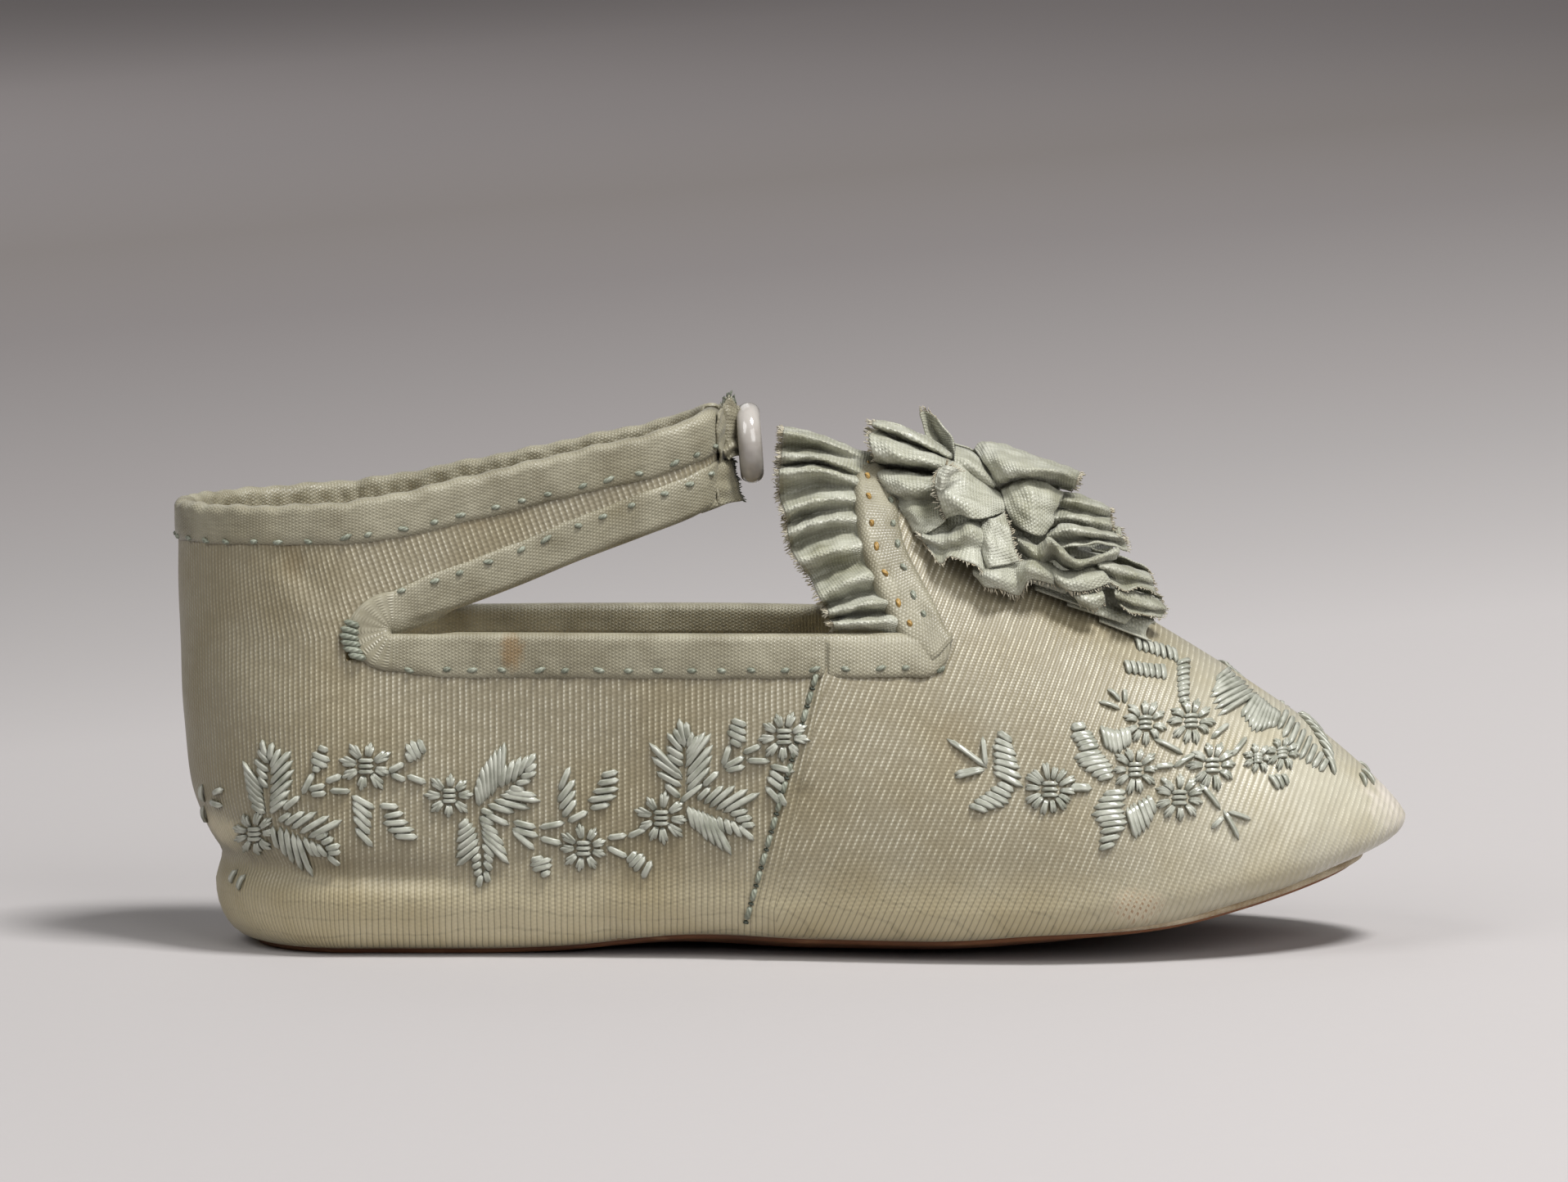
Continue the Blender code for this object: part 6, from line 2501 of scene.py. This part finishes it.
@dataclass
class Embroidery:
    """Silk floss worked in satin stitches over the silk."""

    studio: "Studio"
    cloth: BVHTree
    floss_height: float = 0.46
    seam_top: Pixel = (998.0, 822.0)
    seam_foot: Pixel = (905.0, 1150.0)
    seam_count: int = 15

    def on_cloth(self, px: float, py: float) -> Optional[tuple[Array, Array]]:
        """Where the camera's ray through a pixel meets the silk, and the normal there.

        Args:
            px: the pixel from the left.
            py: the pixel from the top.

        Returns:
            Point and normal, or None where the ray misses.
        """
        hit, normal, _, _ = self.cloth.ray_cast(Vector(self.studio.eye()), Vector(self.studio.rays(px, py)))
        if hit is None:
            return None
        return np.array(hit), np.array(normal)

    def stitch(self, sew: Stitches, line: Sequence[float], width: float, height: float) -> None:
        """Lays one floss stitch between two pixels.

        Args:
            sew: where the stitch goes.
            line: where it comes up and where it goes down.
            width: its breadth.
            height: how far it stands up.
        """
        share = np.linspace(0.0, 1.0, 7)
        start, end = np.array(line[:2]), np.array(line[2:])
        hits = [self.on_cloth(*(start * (1 - t) + end * t)) for t in share]
        if any(hit is None for hit in hits):
            return
        points, normals = np.array([h[0] for h in hits]), np.array([h[1] for h in hits])
        if np.abs(np.diff(points[:, 1])).max() > 4.0:
            return
        arch = 0.02 + 0.2 * np.sin(math.pi * share)
        sew.lay(points + normals * arch[:, None], normals, width, height, 0.4)

    def flower(self, sew: Stitches, flower: Flower, draw: np.random.Generator) -> None:
        """Works a flower of satin petals round a small crossed eye.

        Args:
            sew: where the stitches go.
            flower: its place and size.
            draw: random draws.
        """
        x, y, radius = flower.x, flower.y, flower.radius
        step = 2 * math.pi / flower.petals
        width = min(0.62, 0.5 * 2 * math.pi * radius / flower.petals / flower.strands / 13.3 * 1.25)
        for k in range(flower.petals):
            middle = step * k + flower.turn + draw.uniform(-0.1, 0.1)
            reach = radius * draw.uniform(0.86, 1.06)
            for strand in range(flower.strands):
                swing = (strand - (flower.strands - 1) / 2) * 0.62 * step / flower.strands
                share = 1.0 - 0.9 * abs(swing)
                root = (
                    x + 0.34 * radius * math.cos(middle + 0.5 * swing),
                    y + 0.34 * radius * math.sin(middle + 0.5 * swing),
                )
                tip = (
                    x + share * reach * math.cos(middle + swing),
                    y + share * reach * math.sin(middle + swing),
                )
                self.stitch(sew, (*root, *tip), width, self.floss_height)
        for shift in (-0.2, 0.0, 0.2):
            line = (x - 0.3 * radius, y + shift * radius, x + 0.3 * radius, y + shift * radius)
            self.stitch(sew, line, 0.42, 0.5)

    def work(
        self, name: str, flowers: Sequence[Flower], fans: Sequence[Fan], floss: Material, seed: int
    ) -> None:
        """Works a pattern on the near side and repeats it on the far side.

        Args:
            name: the piece's name.
            flowers: its flowers.
            fans: its leaves, buds and stems.
            floss: finish of the floss.
            seed: start of the random draws.
        """
        draw = np.random.default_rng(seed)
        sew = Stitches(name)
        for flower in flowers:
            self.flower(sew, flower, draw)
        for fan in fans:
            for line in fan.lines():
                self.stitch(
                    sew,
                    line + draw.uniform(-0.8, 0.8, 4),
                    fan.width * draw.uniform(0.92, 1.08),
                    self.floss_height,
                )
        sew.mirror()
        sew.build(floss, "silk")

    def seam(self, thread: Material, shade: Material) -> None:
        """Sews the side seams with back-stitches, each ending in a short dark dash that is painted shade for
        its needle hole.

        Args:
            thread: finish of the stitches.
            shade: finish of the dark dashes, painted shade in the needle holes.
        """
        sew, holes = Stitches("seam_stitches"), Stitches("seam_hole_shade")
        top, foot = np.array(self.seam_top), np.array(self.seam_foot)
        for k in range(self.seam_count):
            ends = [top + (foot - top) * (k + share) / self.seam_count for share in (0.0, 0.8, 0.98)]
            self.stitch(sew, (*ends[0], *ends[1]), 0.52, 0.36)
            # Painted shade: a short dark dash stands in for the needle hole
            self.stitch(holes, (*ends[1], *ends[2]), 0.5, 0.12)
        sew.mirror()
        holes.mirror()
        sew.build(thread, "silk")
        holes.build(shade, "silk")

    def build(self, floss: Material, thread: Material, shade: Material) -> None:
        """Works the garland round the quarters, the spray on the vamp and the side seams.

        Args:
            floss: finish of the embroidery.
            thread: finish of the seam's stitches.
            shade: finish of the dark dashes, painted shade in the seam's needle holes.
        """
        self.work("garland_embroidery", GARLAND_FLOWERS, GARLAND_FANS, floss, 3)
        self.work("vamp_embroidery", VAMP_FLOWERS, VAMP_FANS, floss, 4)
        self.seam(thread, shade)


@dataclass(frozen=True)
class Lamp:
    """A square soft light that faces the slipper: where it hangs, its power and its side."""

    name: str
    place: tuple[float, float, float]
    watts: float
    size: float

    def hang(self) -> None:
        """Adds the light to the studio."""
        data = bpy.data.lights.new(self.name, "AREA")
        data.energy, data.size = self.watts, self.size * MM
        light = bpy.data.objects.new(self.name, data)
        light.location = Vector(self.place) * MM
        light.rotation_euler = (-Vector(self.place)).to_track_quat("-Z", "Y").to_euler()
        bpy.context.scene.collection.objects.link(light)


@dataclass
class Studio:
    """Pale floor with painted light and shade over its depth and breadth, soft light from the upper right,
    and the camera.
    """

    aim: tuple[float, float, float] = (-0.46, 0.0, 32.5)
    distance: float = 900.0
    elevation: float = math.radians(5.3)
    lens: float = 222.0
    floor_half: float = 6000.0
    lamps: tuple[Lamp, ...] = (
        Lamp("key_light", (660.0, -500.0, 1820.0), 48.0, 480.0),
        Lamp("front_light", (700.0, -1100.0, 700.0), 9.5, 900.0),
        Lamp("fill_light", (-800.0, -600.0, 900.0), 6.5, 700.0),
        Lamp("back_light", (-500.0, 1500.0, 1300.0), 4.5, 1200.0),
    )
    ambient: float = 0.13
    # Painted light and shade of the floor, by distance behind the slipper
    floor_light_stops: tuple[tuple[float, str], ...] = (
        (0.0, "a6a2a1"),
        (0.084, "a8a4a3"),
        (0.13, "a9a5a4"),
        (0.208, "aaa6a5"),
        (0.28, "a29e9d"),
        (0.355, "9b9796"),
        (0.413, "989392"),
        (0.479, "95908f"),
        (0.545, "938d8c"),
        (0.612, "99928f"),
        (0.677, "ada6a5"),
        (0.742, "c4bcbb"),
    )

    def build(self) -> None:
        """Makes the floor, the lights, the world and the camera."""
        scene = bpy.context.scene
        scene.view_settings.view_transform = "Standard"
        self.floor()
        for lamp in self.lamps:
            lamp.hang()
        world = bpy.data.worlds.new("studio_light")
        world.use_nodes = True
        scene.world = world
        background = world.node_tree.nodes["Background"]
        background.inputs["Color"].default_value = linear("fbf8f8")
        background.inputs["Strength"].default_value = self.ambient
        camera = bpy.data.objects.new("camera", bpy.data.cameras.new("camera"))
        scene.collection.objects.link(camera)
        camera.data.lens = self.lens
        camera.data.sensor_width = SENSOR_WIDTH
        camera.data.clip_end = 20.0
        camera.location = Vector(self.eye()) * MM
        camera.rotation_euler = (Vector(self.aim) - Vector(self.eye())).to_track_quat("-Z", "Y").to_euler()
        scene.camera = camera

    def eye(self) -> Array:
        """Where the camera stands, in millimetres."""
        return np.array(self.aim) + self.distance * np.array(
            [0.0, -math.cos(self.elevation), math.sin(self.elevation)]
        )

    def rays(self, px: Array, py: Array) -> Array:
        """Directions in which the camera sees pixels of the photograph.

        Args:
            px: pixels from the left.
            py: pixels from the top.

        Returns:
            Unit vectors.
        """
        ahead = unit(np.array(self.aim) - self.eye())
        right = np.array([1.0, 0.0, 0.0])
        up = np.cross(right, ahead)
        width, height = PHOTO_SIZE
        scale = SENSOR_WIDTH / self.lens / width
        sideways, down = (np.asarray(px) - width / 2) * scale, (np.asarray(py) - height / 2) * scale
        return unit(ahead + right * sideways[..., None] - up * down[..., None])

    def at_depth(self, px: Array, py: Array, y: Array) -> Array:
        """Points that the camera sees at pixels of the photograph, at a depth across the slipper.

        Args:
            px: pixels from the left.
            py: pixels from the top.
            y: where each point lies across the slipper, in millimetres.

        Returns:
            The points.
        """
        eye = self.eye()
        rays = self.rays(px, py)
        return eye + rays * ((y - eye[1]) / rays[..., 1])[..., None]

    def floor(self) -> None:
        """Makes the floor, paper with painted light and shade: darker behind the slipper, lighter again far
        off, and lighter to the right.
        """
        bm = bmesh.new()
        bmesh.ops.create_grid(bm, x_segments=8, y_segments=8, size=self.floor_half * MM)
        mesh = bpy.data.meshes.new("studio_floor")
        bm.to_mesh(mesh)
        bm.free()
        floor = bpy.data.objects.new("studio_floor", mesh)
        bpy.context.scene.collection.objects.link(floor)
        finish = Finish("backdrop_paper", Roughness=0.9, IOR=1.4)
        split = finish.add("ShaderNodeSeparateXYZ", {0: finish.place})
        depth = finish.plus(split.outputs[1], finish.times(split.outputs[0], -0.75))
        reach = finish.math("MAXIMUM", finish.plus(split.outputs[1], 0.9), 0.3)
        # Painted light and shade: the floor colour darkens with distance behind the slipper and lightens
        # again far off
        colour = ramp(finish.tree, finish.math("DIVIDE", depth, reach), self.floor_light_stops)
        # Painted light: the floor is lighter towards the right
        sideways = finish.span(split.outputs[0], -0.3, 0.3, 0.8, 1.2)
        finish.colour(finish.mix(1.0, colour, sideways, "MULTIPLY"))
        finish.bump(finish.noise(3.0, 4.0), 0.05)
        mesh.materials.append(finish.material)


def main() -> None:
    """Builds the slipper piece by piece, and the studio round it."""
    logging.basicConfig(level=logging.INFO, format="%(name)s %(message)s")
    studio = Studio()
    studio.build()
    silk, lining = SilkFaille().make(), Lining().make()
    leather = SoleLeather().make()
    rand = SilkRibbon("pale_rand", "c6b99f", "96805f", "7d5a3c", 0.6).make()
    upper = SilkUpper()
    cloth = upper.build(silk, lining)
    Sole().build(upper, leather, lining, rand)
    ribbon = SilkRibbon(stains=((-25.4, -15.5, 28.4),)).make()
    thread = Thread("sage_thread", "8c9081", "5c6152").make()
    gold = Thread("gold_thread", "a8874a", "6f5224").make()
    RibbonBinding().build(ribbon, thread, gold)
    trim = SilkRibbon("gathered_ribbon", "b4b4a6", "8d8c77", "787550", 0.34, 0.07, 0.35).make()
    loose = Thread("frayed_silk", "cfc9b6", "97896a", 0.6).make()
    ThroatFrill().build(studio, trim, loose)
    Rosette().build(studio, trim, loose)
    StrapEnd().build(studio, ribbon, thread)
    ChinaButton().build(WhiteChina().make(), loose)
    floss = Thread("silk_floss", "acada1", "797b6d", 0.24, 0.2).make()
    # Dark dashes that are painted shade in the seam's needle holes
    shade = Thread("painted_hole_shade", "3c4236", "22271e").make()
    Embroidery(studio, cloth).build(floss, thread, shade)


if __name__ == "__main__":
    main()
